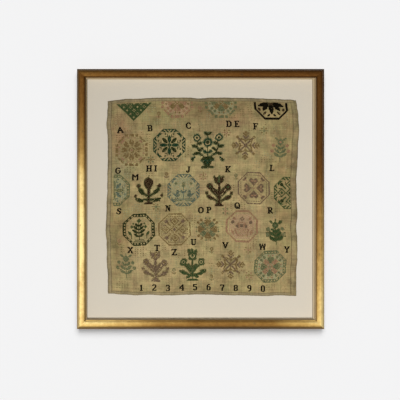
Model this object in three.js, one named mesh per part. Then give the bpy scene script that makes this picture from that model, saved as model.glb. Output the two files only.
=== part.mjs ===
// A cross stitch sampler laid on a cream mount board in a gilt wooden picture frame.
// Millimetres, +Z up, the picture facing -Y. The origin is the centre of the frame's back.
import * as THREE from "three";

// Sizes of the frame. A depth is counted forwards from the back, so a depth d lies at y = -d.
const FRAME_WIDTH = 432.5;
const FRAME_HEIGHT = 455;
const RAIL_WIDTH = 17.3;
const RAIL_DEPTH = 26;
const REBATE_WIDTH = 7;
const REBATE_DEPTH = 16;
const GAP = 0.3;

// The moulding's section, from the outer edge inwards
const SIDE_DEPTH = 19;
const STEP_WIDTH = 3;
const STEP_DEPTH = 21.6;
const CREST_INSET = 8.6;
const BEAD_END_INSET = 14.2;
const BEAD_END_DEPTH = 22;
const NOSE_INSET = 16.4;
const NOSE_DEPTH = 19.8;
const BEAD_STEPS = 6;

// Boards and spacers stacked in the rebate, from the back
const BACKING_THICKNESS = 3;
const BOARD_THICKNESS = 3;
const SPACER_REACH = 2.2;

// The sampler's cloth
const CLOTH_THICKNESS = 1.2;
const SIDE_HEM_RISE = 0.8;
const END_HEM_RISE = 0.5;
// The hems, as shares of the cloth
const LEFT_HEM = 0.017;
const RIGHT_HEM = 0.026;
const END_HEM = 0.011;
const HEM_FALL = 0.006;
const CLOTH_COLUMNS = 26;
const CLOTH_ROWS = 26;

// Edges of the cloth, from the frame's centre: where along the edge, and how far out
const LEFT_EDGE = [
  { along: -166.2, out: -162.7 },
  { along: -134, out: -163 },
  { along: -111, out: -164.6 },
  { along: -77.5, out: -164.8 },
  { along: -53, out: -166.4 },
  { along: -10.5, out: -164.8 },
  { along: 16, out: -163.7 },
  { along: 77.5, out: -162.9 },
  { along: 107.5, out: -163 },
  { along: 130.5, out: -165.1 },
  { along: 148, out: -163.7 },
  { along: 171.6, out: -163 },
];
const RIGHT_EDGE = [
  { along: -170.2, out: 168.3 },
  { along: -125, out: 168.1 },
  { along: -105.5, out: 169.9 },
  { along: -72, out: 169.9 },
  { along: -49.5, out: 168.1 },
  { along: -30, out: 169.9 },
  { along: 7, out: 168.7 },
  { along: 33.5, out: 168.1 },
  { along: 63.5, out: 170.1 },
  { along: 91.5, out: 171.1 },
  { along: 119.5, out: 173 },
  { along: 148, out: 171.8 },
  { along: 163.5, out: 169.4 },
  { along: 172.9, out: 167.6 },
];
const BOTTOM_EDGE = [
  { along: -162.7, out: -166.2 },
  { along: -131.5, out: -168 },
  { along: -112, out: -169.2 },
  { along: -91, out: -168.1 },
  { along: -62.5, out: -169.4 },
  { along: 0.5, out: -167.6 },
  { along: 57, out: -169.2 },
  { along: 113.5, out: -170.4 },
  { along: 134.5, out: -169.5 },
  { along: 168.3, out: -170.2 },
];
const TOP_EDGE = [
  { along: -163, out: 171.6 },
  { along: -147, out: 173.9 },
  { along: -129.5, out: 175.5 },
  { along: -62.5, out: 177.8 },
  { along: -20.5, out: 177.8 },
  { along: -3, out: 176.3 },
  { along: 22, out: 177.8 },
  { along: 78, out: 177.3 },
  { along: 122, out: 175.7 },
  { along: 155.5, out: 174.4 },
  { along: 167.6, out: 172.9 },
];

// Soft ridges where the cloth stands off the board: centre, half length, half width, turn and rise
const RIDGES = [
  { x: 128, z: 122, length: 62, width: 17, turn: 4, rise: 1.1 },
  { x: 134, z: -88, length: 52, width: 15, turn: -6, rise: 0.8 },
  { x: -132, z: 126, length: 46, width: 14, turn: -9, rise: 0.9 },
  { x: -128, z: -56, length: 60, width: 18, turn: 7, rise: 1.0 },
  { x: -66, z: 138, length: 18, width: 44, turn: 5, rise: 0.7 },
  { x: 44, z: 142, length: 16, width: 40, turn: -4, rise: 0.7 },
  { x: -88, z: -132, length: 15, width: 42, turn: 6, rise: 0.8 },
  { x: 62, z: -134, length: 17, width: 40, turn: -5, rise: 0.8 },
  { x: 12, z: 6, length: 90, width: 34, turn: 12, rise: 0.5 },
];

const GILT = { color: 0xb08a4a, roughness: 0.38, metalness: 0.85 };
const SPACER_CARD = { color: 0xa08f74, roughness: 0.85, metalness: 0 };
const MOUNT_CARD = { color: 0xd4c9b6, roughness: 0.9, metalness: 0 };
const BACKING_CARD = { color: 0x8a6f50, roughness: 0.9, metalness: 0 };
const LINEN = { color: 0x8f8058, roughness: 0.95, metalness: 0 };

function finish({ color, roughness, metalness }) {
  return new THREE.MeshStandardMaterial({ color, roughness, metalness });
}

function named(name, geometry, look) {
  const mesh = new THREE.Mesh(geometry, finish(look));
  mesh.name = name;
  return mesh;
}

// Closed section of the moulding as (inset from the outer edge, depth) points: a straight outer
// side, a narrow step, a bead in two quarter waves, a slope to the sight edge, and the rebate.
function railSection() {
  const points = [new THREE.Vector2(0, 0), new THREE.Vector2(0, SIDE_DEPTH)];
  for (let i = 0; i <= BEAD_STEPS; i++) {
    const wave = Math.sin((i / BEAD_STEPS) * (Math.PI / 2));
    const inset = STEP_WIDTH + (CREST_INSET - STEP_WIDTH) * (i / BEAD_STEPS);
    points.push(new THREE.Vector2(inset, STEP_DEPTH + (RAIL_DEPTH - STEP_DEPTH) * wave));
  }
  for (let i = 1; i <= BEAD_STEPS; i++) {
    const wave = Math.cos((i / BEAD_STEPS) * (Math.PI / 2));
    const inset = CREST_INSET + (BEAD_END_INSET - CREST_INSET) * (i / BEAD_STEPS);
    points.push(new THREE.Vector2(inset, BEAD_END_DEPTH + (RAIL_DEPTH - BEAD_END_DEPTH) * wave));
  }
  points.push(new THREE.Vector2(NOSE_INSET, NOSE_DEPTH));
  points.push(new THREE.Vector2(RAIL_WIDTH, NOSE_DEPTH - 1));
  points.push(new THREE.Vector2(RAIL_WIDTH, REBATE_DEPTH));
  points.push(new THREE.Vector2(RAIL_WIDTH - REBATE_WIDTH, REBATE_DEPTH));
  points.push(new THREE.Vector2(RAIL_WIDTH - REBATE_WIDTH, 0));
  return points;
}

// A rail as the bottom one lies, mitred at both ends, carried along X. A point of the section
// runs from -(length / 2 - inset) to +(length / 2 - inset), less half the gap at the mitre.
function railGeometry(length, span) {
  const section = railSection();
  const count = section.length;
  const positions = [];
  for (const end of [-1, 1]) {
    for (const { x: inset, y: depth } of section) {
      positions.push(end * (length / 2 - inset - GAP / 2), -depth, inset - span / 2);
    }
  }
  const index = [];
  for (let i = 0; i < count; i++) {
    const next = (i + 1) % count;
    index.push(i, next, count + i, next, count + next, count + i);
  }
  for (const [a, b, c] of THREE.ShapeUtils.triangulateShape(section, [])) {
    index.push(a, b, c, count + a, count + c, count + b);
  }
  return facingOut(positions, index);
}

// An indexed geometry, with its faces turned round if they enclose a negative volume.
function facingOut(positions, index) {
  const corner = (i) => new THREE.Vector3().fromArray(positions, index[i] * 3);
  let volume = 0;
  for (let i = 0; i < index.length; i += 3) {
    volume += corner(i).dot(corner(i + 1).cross(corner(i + 2)));
  }
  const turned = volume < 0 ? index.slice().reverse() : index;
  const geometry = new THREE.BufferGeometry();
  geometry.setAttribute("position", new THREE.Float32BufferAttribute(positions, 3));
  geometry.setIndex(turned);
  geometry.computeVertexNormals();
  return geometry;
}

// The four rails are one form turned about Y: bottom, left, top and right.
function rails() {
  const sides = [
    { name: "frame_bottom", length: FRAME_WIDTH, span: FRAME_HEIGHT },
    { name: "frame_left", length: FRAME_HEIGHT, span: FRAME_WIDTH },
    { name: "frame_top", length: FRAME_WIDTH, span: FRAME_HEIGHT },
    { name: "frame_right", length: FRAME_HEIGHT, span: FRAME_WIDTH },
  ];
  return sides.map(({ name, length, span }, quarter) => {
    const rail = named(name, railGeometry(length, span), GILT);
    rail.rotation.y = (quarter * Math.PI) / 2;
    return rail;
  });
}

// A board or strip between two corners across the picture, from one depth to another.
function slab(name, low, high, depths, look) {
  const thickness = depths.front - depths.back;
  const geometry = new THREE.BoxGeometry(high.x - low.x, thickness, high.z - low.z);
  const mesh = named(name, geometry, look);
  mesh.position.set((low.x + high.x) / 2, -(depths.back + depths.front) / 2, (low.z + high.z) / 2);
  return mesh;
}

const WELL_X = FRAME_WIDTH / 2 - RAIL_WIDTH + REBATE_WIDTH - GAP;
const WELL_Z = FRAME_HEIGHT / 2 - RAIL_WIDTH + REBATE_WIDTH - GAP;
const BOARD_BACK = BACKING_THICKNESS + GAP;
const BOARD_FRONT = BOARD_BACK + BOARD_THICKNESS;
const CLOTH_BACK = BOARD_FRONT + GAP;

function boards() {
  const low = { x: -WELL_X, z: -WELL_Z };
  const high = { x: WELL_X, z: WELL_Z };
  return [
    slab("backing_board", low, high, { back: 0, front: BACKING_THICKNESS }, BACKING_CARD),
    slab("mount_board", low, high, { back: BOARD_BACK, front: BOARD_FRONT }, MOUNT_CARD),
  ];
}

// Card strips that keep the mount board back from the rails' lips. The right one reaches past
// the lip, so a line of it shows from the front.
function spacers() {
  const depths = { back: BOARD_FRONT + GAP, front: REBATE_DEPTH - GAP };
  const width = REBATE_WIDTH - 2 * GAP;
  const sideTop = WELL_Z - width - GAP;
  const rightWidth = width + GAP + SPACER_REACH;
  return [
    slab("spacer_top", { x: -WELL_X, z: WELL_Z - width }, { x: WELL_X, z: WELL_Z }, depths, SPACER_CARD),
    slab("spacer_bottom", { x: -WELL_X, z: -WELL_Z }, { x: WELL_X, z: width - WELL_Z }, depths, SPACER_CARD),
    slab("spacer_left", { x: -WELL_X, z: -sideTop }, { x: width - WELL_X, z: sideTop }, depths, SPACER_CARD),
    slab("spacer_right", { x: WELL_X - rightWidth, z: -sideTop }, { x: WELL_X, z: sideTop }, depths, SPACER_CARD),
  ];
}

function ease(t) {
  const held = Math.min(Math.max(t, 0), 1);
  return held * held * (3 - 2 * held);
}

// How far out an edge lies at a share of its length, eased from one row of its table to the next.
function onEdge(edge, share) {
  const first = edge[0];
  const last = edge[edge.length - 1];
  const along = first.along + (last.along - first.along) * share;
  let row = 1;
  while (row < edge.length - 1 && edge[row].along < along) {
    row += 1;
  }
  const from = edge[row - 1];
  const to = edge[row];
  const t = ease((along - from.along) / (to.along - from.along));
  return { along, out: from.out + (to.out - from.out) * t };
}

// The place across the picture for shares s (left to right) and t (bottom to top) of the cloth:
// the patch that the four edges span, which is opposite edges blended less the corners' blend.
function onCloth(s, t) {
  const left = onEdge(LEFT_EDGE, t);
  const right = onEdge(RIGHT_EDGE, t);
  const bottom = onEdge(BOTTOM_EDGE, s);
  const top = onEdge(TOP_EDGE, s);
  const corner = (edge, share) => onEdge(edge, share).out;
  const cornersX = (1 - t) * ((1 - s) * corner(LEFT_EDGE, 0) + s * corner(RIGHT_EDGE, 0)) +
    t * ((1 - s) * corner(LEFT_EDGE, 1) + s * corner(RIGHT_EDGE, 1));
  const cornersZ = (1 - t) * ((1 - s) * corner(BOTTOM_EDGE, 0) + s * corner(BOTTOM_EDGE, 1)) +
    t * ((1 - s) * corner(TOP_EDGE, 0) + s * corner(TOP_EDGE, 1));
  return {
    x: (1 - s) * left.out + s * right.out + (1 - t) * bottom.along + t * top.along - cornersX,
    z: (1 - s) * left.along + s * right.along + (1 - t) * bottom.out + t * top.out - cornersZ,
  };
}

// Rise of the cloth off the board: each ridge is a bell along and across its own turned axes.
function ridgeRise(x, z) {
  let rise = 0;
  for (const ridge of RIDGES) {
    const turn = THREE.MathUtils.degToRad(ridge.turn);
    const across = x - ridge.x;
    const up = z - ridge.z;
    const along = (across * Math.cos(turn) + up * Math.sin(turn)) / ridge.length;
    const aside = (up * Math.cos(turn) - across * Math.sin(turn)) / ridge.width;
    rise += ridge.rise * Math.exp(-(along * along + aside * aside));
  }
  return rise;
}

// Extra thickness of the turned-in edges, full inside each hem and falling to nothing past it.
function hemRise(s, t) {
  const fall = (past) => 1 - ease(past / HEM_FALL);
  const side = SIDE_HEM_RISE * fall(Math.min(s - LEFT_HEM, 1 - s - RIGHT_HEM));
  const end = END_HEM_RISE * fall(Math.min(t, 1 - t) - END_HEM);
  return Math.max(side, end);
}

// Shares from 0 to 1, evenly spaced but with a line at each side of both hems' inner edges.
function shares(steps, firstHem, lastHem) {
  const first = firstHem + HEM_FALL;
  const last = 1 - lastHem - HEM_FALL;
  const list = [0, firstHem];
  for (let i = 0; i <= steps; i++) {
    list.push(first + (last - first) * (i / steps));
  }
  list.push(1 - lastHem, 1);
  return list;
}

// The cloth: a grid for its face, the same grid for its back, and a rim that joins them.
function clothGeometry() {
  const columns = shares(CLOTH_COLUMNS, LEFT_HEM, RIGHT_HEM);
  const rows = shares(CLOTH_ROWS, END_HEM, END_HEM);
  const positions = [];
  for (const face of ["front", "back"]) {
    for (const t of rows) {
      for (const s of columns) {
        const { x, z } = onCloth(s, t);
        const back = CLOTH_BACK + ridgeRise(x, z);
        const depth = face === "front" ? back + CLOTH_THICKNESS + hemRise(s, t) : back;
        positions.push(x, -depth, z);
      }
    }
  }
  const wide = columns.length;
  const high = rows.length;
  const layer = wide * high;
  const index = [];
  const quad = (a, b, c, d) => index.push(a, b, c, a, c, d);
  for (let j = 0; j < high - 1; j++) {
    for (let i = 0; i < wide - 1; i++) {
      const a = j * wide + i;
      quad(a, a + 1, a + wide + 1, a + wide);
      quad(layer + a, layer + a + wide, layer + a + wide + 1, layer + a + 1);
    }
  }
  const rim = [];
  for (let i = 0; i < wide - 1; i++) rim.push(i);
  for (let j = 0; j < high - 1; j++) rim.push(j * wide + wide - 1);
  for (let i = wide - 1; i > 0; i--) rim.push((high - 1) * wide + i);
  for (let j = high - 1; j > 0; j--) rim.push(j * wide);
  rim.forEach((a, i) => {
    const b = rim[(i + 1) % rim.length];
    quad(b, a, layer + a, layer + b);
  });
  return facingOut(positions, index);
}

const sampler = new THREE.Group();
sampler.add(...rails(), ...boards(), ...spacers(), named("sampler_cloth", clothGeometry(), LINEN));

export default sampler;
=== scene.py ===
"""Looks of a cross stitch sampler, laid on a cream mount board in a slim gilt frame.

Metres, +Z up, the picture facing -Y. The origin is the centre of the frame's back. A depth is
counted forwards from the back, so a depth d lies at y = -d. Lengths marked MM are millimetres.
"""
import math

import bpy
import numpy as np
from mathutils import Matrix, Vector


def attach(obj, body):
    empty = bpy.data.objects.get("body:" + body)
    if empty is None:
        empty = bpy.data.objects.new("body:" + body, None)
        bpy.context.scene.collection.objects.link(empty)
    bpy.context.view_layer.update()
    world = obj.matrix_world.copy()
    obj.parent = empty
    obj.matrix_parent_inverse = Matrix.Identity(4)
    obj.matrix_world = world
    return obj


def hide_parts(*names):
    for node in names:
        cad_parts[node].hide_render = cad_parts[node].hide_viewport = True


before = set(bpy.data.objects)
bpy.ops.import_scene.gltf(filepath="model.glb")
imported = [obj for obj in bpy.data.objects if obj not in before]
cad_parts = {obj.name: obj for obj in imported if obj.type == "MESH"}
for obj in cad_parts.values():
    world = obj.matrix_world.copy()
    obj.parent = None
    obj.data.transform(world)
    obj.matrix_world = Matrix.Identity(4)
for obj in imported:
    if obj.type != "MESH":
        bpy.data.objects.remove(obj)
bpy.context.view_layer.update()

MM = 0.001

# The photograph: its side and the frame's centre in pixels, and what a pixel is at the frame's outline
PHOTO_SIDE = 400
FRAME_CENTRE_PIXEL = (200.6, 199.0)
PIXEL = 1.75 * MM
OUTLINE_DEPTH = 19 * MM
CAMERA_DISTANCE = 2.0
SENSOR = 36.0

# The moulding, from the outer edge inwards
FRAME_WIDTH = 432.5 * MM
FRAME_HEIGHT = 455 * MM
RAIL_WIDTH = 17.3 * MM
RAIL_DEPTH = 26 * MM
REBATE_WIDTH = 7 * MM
REBATE_DEPTH = 16 * MM
MITRE_GAP = 0.04 * MM
SIDE_DEPTH = 19 * MM
STEP_WIDTH = 3 * MM
STEP_DEPTH = 21.6 * MM
CREST_INSET = 8.6 * MM
BEAD_END_INSET = 14.2 * MM
BEAD_END_DEPTH = 22 * MM
NOSE_INSET = 16.4 * MM
NOSE_DEPTH = 19.8 * MM
QUIRK_WIDTH = 1.4 * MM
QUIRK_DEPTH = 0.35 * MM
SLOPE_DEPTH = BEAD_END_DEPTH - 0.9 * MM
BEAD_SQUARENESS = 3.0
# Shares across and down the quirk, and the rounded sight edge as insets and depths in millimetres
QUIRK = ((0.25, 0.2), (0.55, 1.0), (1.0, 0.0))
SIGHT_EDGE = ((16.9, 19.5), (17.3, 18.8), (17.3, 17.4))
LEAF_EDGE_SHARPNESS = 24.0
LEAVES_PER_RAIL = 5.3
FLANK_EDGE = 0.012
RAIL_STATIONS = 190
RAIL_WOBBLE = 0.09 * MM
RAIL_SHARP_ANGLE = math.radians(32)

# The cloth, behind its face and at its hems
CLOTH_BACK = 6.6 * MM
CLOTH_THICKNESS = 1.2 * MM
SIDE_HEM_RISE = 0.8 * MM
END_HEM_RISE = 0.5 * MM
LEFT_HEM = 0.017
RIGHT_HEM = 0.026
END_HEM = 0.011
HEM_FALL = 0.006
RIGHT_HEM_GREYING = 0.35
SEAM_WIDTH = 0.0028
CLOTH_FLAT = (0.333, 0.345)
CLOTH_STEP = 2.1 * MM
PUCKER = 0.16 * MM
STAIN_WANDER = 9 * MM

# The cloth's rim: its first grid shares, its rounding, how loose its outline is and how far it gathers.
# A reach is how far inwards each goes.
RIM_SHARES = (0, 0.0016, 0.0040, 0.0075)
RIM_DROP, RIM_REACH = 0.55 * MM, 1.6 * MM
RIM_BULGE = 0.35 * MM
RIM_DARK_REACH = 1.3 * MM
LOOSE, LOOSE_REACH = 0.35 * MM, 3 * MM
GATHER, GATHER_REACH = 0.16 * MM, 9 * MM

# The count of stitches across and up the cloth, and a stitch's size
COUNT_WIDE = 277
COUNT_HIGH = 287
STITCH = CLOTH_FLAT[0] / COUNT_WIDE
THREAD_WIDTH = 0.92 * MM
INK_WIDTH = 1.7 * MM
THREAD_RISE = 0.30 * MM
CROSSING_RISE = 0.24 * MM
TIP_DEPTH = 0.12 * MM
TAPER_SHARE = 0.15
LEG_SIDES = 3
PLIES = 3
PLY_WINDINGS = 3.0
HEM_STITCH_PITCH = 2.6

# How far a worn thread fades to the linen's colour
FADE_TO_LINEN = 0.38
DARK_FADE_TO_LINEN = 0.16

# Light from the sky all round, and what the camera sees of it
WORLD_LIGHT = 0.12
WORLD_SEEN = 0.9

# Edges of the cloth in millimetres from the frame's centre: where along the edge, and how far out
LEFT_EDGE = (
    (-166.2, -162.7), (-134, -163), (-111, -164.6), (-77.5, -164.8), (-53, -166.4), (-10.5, -164.8),
    (16, -163.7), (77.5, -162.9), (107.5, -163), (130.5, -165.1), (148, -163.7), (171.6, -163),
)
RIGHT_EDGE = (
    (-170.2, 168.3), (-125, 168.1), (-105.5, 169.9), (-72, 169.9), (-49.5, 168.1), (-30, 169.9),
    (7, 168.7), (33.5, 168.1), (63.5, 170.1), (91.5, 171.1), (119.5, 173), (148, 171.8),
    (163.5, 169.4), (172.9, 167.6),
)
BOTTOM_EDGE = (
    (-162.7, -166.2), (-131.5, -168), (-112, -169.2), (-91, -168.1), (-62.5, -169.4), (0.5, -167.6),
    (57, -169.2), (113.5, -170.4), (134.5, -169.5), (168.3, -170.2),
)
TOP_EDGE = (
    (-163, 171.6), (-147, 173.9), (-129.5, 175.5), (-62.5, 177.8), (-20.5, 177.8), (-3, 176.3),
    (22, 177.8), (78, 177.3), (122, 175.7), (155.5, 174.4), (167.6, 172.9),
)

# Soft ridges where the cloth stands off the board: x, z, half length, half width, turn, rise
RIDGES = (
    (128, 122, 62, 17, 4, 1.1),
    (134, -88, 52, 15, -6, 0.8),
    (-132, 126, 46, 14, -9, 0.9),
    (-128, -56, 60, 18, 7, 1.0),
    (-66, 138, 18, 44, 5, 0.7),
    (44, 142, 16, 40, -4, 0.7),
    (-88, -132, 15, 42, 6, 0.8),
    (62, -134, 17, 40, -5, 0.8),
    (12, 6, 90, 34, 12, 0.5),
)

# Thread colours
THREADS = {
    "ink": (15, 11, 3),
    "dark_green": (34, 52, 19),
    "teal": (12, 66, 44),
    "leaf_green": (52, 84, 44),
    "brown": (58, 37, 22),
    "sage": (122, 130, 92),
    "moss": (98, 100, 60),
    "blue_grey": (106, 126, 112),
    "fawn": (146, 120, 74),
    "rose": (188, 144, 112),
    "mauve": (138, 113, 91),
}
# Pale threads of the medallions' grounds, in half stitches
GROUNDS = {
    "blush": (218, 180, 146),
    "mist": (186, 188, 148),
    "straw": (188, 168, 118),
    "dun": (118, 98, 60),
}
DARK_THREADS = ("ink", "dark_green", "teal", "brown")
# Share of each thread's stitches that have worn away, and of any other thread's
WORN = {"fawn": 0.08, "rose": 0.05, "sage": 0.05, "mauve": 0.03, "blue_grey": 0.02}
LEAST_WORN = 0.004

LINEN = (161, 144, 99)

# Colours of the spacer cards, each side painted lighter or darker as painted light and shade
SPACER_PAINTED_SHADES = {
    "top": (214, 196, 158),
    "bottom": (246, 230, 198),
    "left": (112, 100, 78),
    "right": (190, 172, 140),
}

# Old stains and sun marks on the linen: x, z, half width, half height, strength, colour
STAINS = (
    (-10, 172, 280, 78, 0.80, (138, 124, 84)),
    (-142, 86, 36, 40, 0.35, (118, 106, 72)),
    (60, 142, 30, 15, 0.50, (156, 114, 86)),
    (-140, 108, 18, 36, 0.72, (146, 110, 80)),
    (-138, 58, 16, 26, 0.45, (112, 118, 90)),
    (18, 162, 84, 18, 0.66, (120, 102, 64)),
    (-96, -112, 62, 46, 0.50, (176, 158, 114)),
    (146, 20, 24, 150, 0.58, (124, 106, 64)),
    (26, 98, 62, 30, 0.34, (166, 148, 104)),
    (-143, -62, 20, 70, 0.55, (122, 102, 60)),
    (62, -152, 90, 16, 0.36, (146, 134, 86)),
    (10, 22, 54, 26, 0.36, (164, 140, 104)),
    (-84, 92, 30, 30, 0.30, (160, 136, 90)),
    (86, -40, 26, 34, 0.30, (152, 118, 94)),
    (120, 40, 30, 40, 0.30, (134, 116, 74)),
    (-70, 150, 44, 20, 0.40, (134, 122, 76)),
    (-60, -20, 60, 26, 0.30, (140, 124, 80)),
    (96, -104, 30, 30, 0.34, (136, 118, 84)),
    (171, 0, 9, 190, 0.86, (100, 86, 52)),
)


def linear(red, green, blue):
    """A screen colour, each channel from 0 to 255, as the linear light that shaders work in."""
    share = np.array((red, green, blue)) / 255
    light = np.where(share <= 0.04045, share / 12.92, ((share + 0.055) / 1.055) ** 2.4)
    return (*light.tolist(), 1.0)


def ease(t):
    """Smooth step: 3 t squared less 2 t cubed, held to 0 and 1 outside."""
    held = np.clip(t, 0, 1)
    return held * held * (3 - 2 * held)


def waves(x, z, seed, longest, shortest, count):
    """Soft noise from -1 to 1: a mean of sine waves, each in a random direction and phase, with
    lengths spaced evenly by ratio from the longest to the shortest."""
    draw = np.random.default_rng(seed)
    total = np.zeros(np.broadcast(x, z).shape)
    for length in np.geomspace(longest, shortest, count):
        turn, phase = draw.uniform(0, 2 * np.pi, 2)
        total += np.sin(2 * np.pi * (x * np.cos(turn) + z * np.sin(turn)) / length + phase)
    return total / np.sqrt(count) / 1.6


def on_edge(edge, share):
    """Along and out of an edge at a share of its length, eased from one row of its table to the next."""
    rows = np.array(edge) * MM
    along = rows[0, 0] + (rows[-1, 0] - rows[0, 0]) * np.asarray(share, float)
    after = np.clip(np.searchsorted(rows[:, 0], along), 1, len(rows) - 1)
    start, end = rows[after - 1], rows[after]
    t = ease((along - start[..., 0]) / (end[..., 0] - start[..., 0]))
    return along, start[..., 1] + (end[..., 1] - start[..., 1]) * t


def on_cloth(s, t):
    """The place across the picture for shares s (left to right) and t (bottom to top) of the cloth:
    the patch that the four edges span, which is opposite edges blended less the corners' blend."""
    left_z, left_x = on_edge(LEFT_EDGE, t)
    right_z, right_x = on_edge(RIGHT_EDGE, t)
    bottom_x, bottom_z = on_edge(BOTTOM_EDGE, s)
    top_x, top_z = on_edge(TOP_EDGE, s)

    def corners(low_left, low_right, high_left, high_right):
        low = (1 - s) * low_left + s * low_right
        return (1 - t) * low + t * ((1 - s) * high_left + s * high_right)

    corner_x = corners(LEFT_EDGE[0][1], RIGHT_EDGE[0][1], LEFT_EDGE[-1][1], RIGHT_EDGE[-1][1])
    corner_z = corners(BOTTOM_EDGE[0][1], BOTTOM_EDGE[-1][1], TOP_EDGE[0][1], TOP_EDGE[-1][1])
    x = (1 - s) * left_x + s * right_x + (1 - t) * bottom_x + t * top_x - corner_x * MM
    z = (1 - s) * left_z + s * right_z + (1 - t) * bottom_z + t * top_z - corner_z * MM
    return x, z


def cloth_back(x, z):
    """Depth of the cloth's back: its clearance, a bell along and across each ridge's own turned axes,
    and a fine pucker."""
    depth = CLOTH_BACK + PUCKER * (1 + waves(x, z, 11, 46 * MM, 9 * MM, 14))
    for centre_x, centre_z, length, width, turn, rise in RIDGES:
        angle = math.radians(turn)
        across, up = x - centre_x * MM, z - centre_z * MM
        along = (across * math.cos(angle) + up * math.sin(angle)) / (length * MM)
        aside = (up * math.cos(angle) - across * math.sin(angle)) / (width * MM)
        depth = depth + rise * MM * np.exp(-(along**2 + aside**2))
    return depth


def past_hems(s, t):
    """How far, in shares of the cloth, a place lies inside the side hems' and the end hems' inner lines."""
    return np.minimum(s - LEFT_HEM, 1 - s - RIGHT_HEM), np.minimum(t, 1 - t) - END_HEM


def hem_rise(s, t):
    """Extra thickness of the turned-in edges, full inside each hem and falling to nothing past it."""
    past_side, past_end = past_hems(s, t)
    side = SIDE_HEM_RISE * (1 - ease(past_side / HEM_FALL))
    end = END_HEM_RISE * (1 - ease(past_end / HEM_FALL))
    return np.maximum(side, end)


def seam_shade(s, t):
    """The dark line where a hem ends: a bell across each inner line, halfway down the hem's fall."""
    past_side, past_end = (past - HEM_FALL / 2 for past in past_hems(s, t))
    side, end = (np.exp(-(past / (SEAM_WIDTH / 2)) ** 2) for past in (past_side, past_end))
    return np.maximum(side * (past_end > -HEM_FALL), 0.6 * end * (past_side > -HEM_FALL))


# New meshes and their place in the frame

def new_mesh(name, points, face_sets):
    """A smooth mesh from an array of points and arrays of faces, each array with its own corner count."""
    mesh = bpy.data.meshes.new(name)
    corners = np.concatenate([faces.ravel() for faces in face_sets])
    sizes = np.concatenate([np.full(len(faces), faces.shape[1]) for faces in face_sets])
    starts = np.concatenate([[0], np.cumsum(sizes)[:-1]])
    mesh.vertices.add(len(points))
    mesh.vertices.foreach_set("co", np.ascontiguousarray(points, np.float32).ravel())
    mesh.loops.add(len(corners))
    mesh.loops.foreach_set("vertex_index", corners.astype(np.int32))
    mesh.polygons.add(len(sizes))
    mesh.polygons.foreach_set("loop_start", starts.astype(np.int32))
    mesh.polygons.foreach_set("use_smooth", np.ones(len(sizes), bool))
    mesh.update(calc_edges=True)
    return mesh


def set_uv(mesh, corner_uv):
    """Puts one UV pair on each face corner."""
    layer = mesh.uv_layers.new(name="UVMap")
    layer.uv.foreach_set("vector", np.ascontiguousarray(corner_uv, np.float32).ravel())


def set_values(mesh, name, values):
    """Puts one number on each point, under a name that materials read."""
    attribute = mesh.attributes.new(name, "FLOAT", "POINT")
    attribute.data.foreach_set("value", np.ascontiguousarray(values, np.float32))


def set_colours(mesh, name, colours):
    """Puts one linear colour on each point, under a name that materials read."""
    attribute = mesh.attributes.new(name, "FLOAT_COLOR", "POINT")
    rgba = np.concatenate([colours, np.ones((len(colours), 1))], axis=1)
    attribute.data.foreach_set("color", np.ascontiguousarray(rgba, np.float32).ravel())


def corner_points(mesh):
    """The point index of each face corner."""
    points = np.zeros(len(mesh.loops), np.int32)
    mesh.loops.foreach_get("vertex_index", points)
    return points


def grid_quads(rows, columns, closed=False):
    """Quads between a grid's points, row after row. Where it is closed, the last column meets the first."""
    across = columns if closed else columns - 1
    row, column = np.meshgrid(np.arange(rows - 1), np.arange(across), indexing="ij")
    after = (column + 1) % columns
    low, high = row * columns, (row + 1) * columns
    return np.stack([low + column, low + after, high + after, high + column], axis=-1).reshape(-1, 4)


def facing_out(points, face_sets):
    """The same faces, all turned round where the quads that come first enclose a negative volume."""
    a, b, c, d = (points[face_sets[0][:, i]] for i in range(4))
    volume = np.einsum("ij,ij->i", a, np.cross(b, c) + np.cross(c, d)).sum()
    return face_sets if volume > 0 else [faces[:, ::-1] for faces in face_sets]


def new_piece(name, mesh, materials, replaced=()):
    """A finished piece at the origin that rides on the frame's one body."""
    piece = bpy.data.objects.new(name, mesh)
    bpy.context.scene.collection.objects.link(piece)
    for material in materials:
        mesh.materials.append(material)
    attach(piece, "root")
    if replaced:
        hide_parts(*replaced)
    return piece


# The four rails

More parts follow.
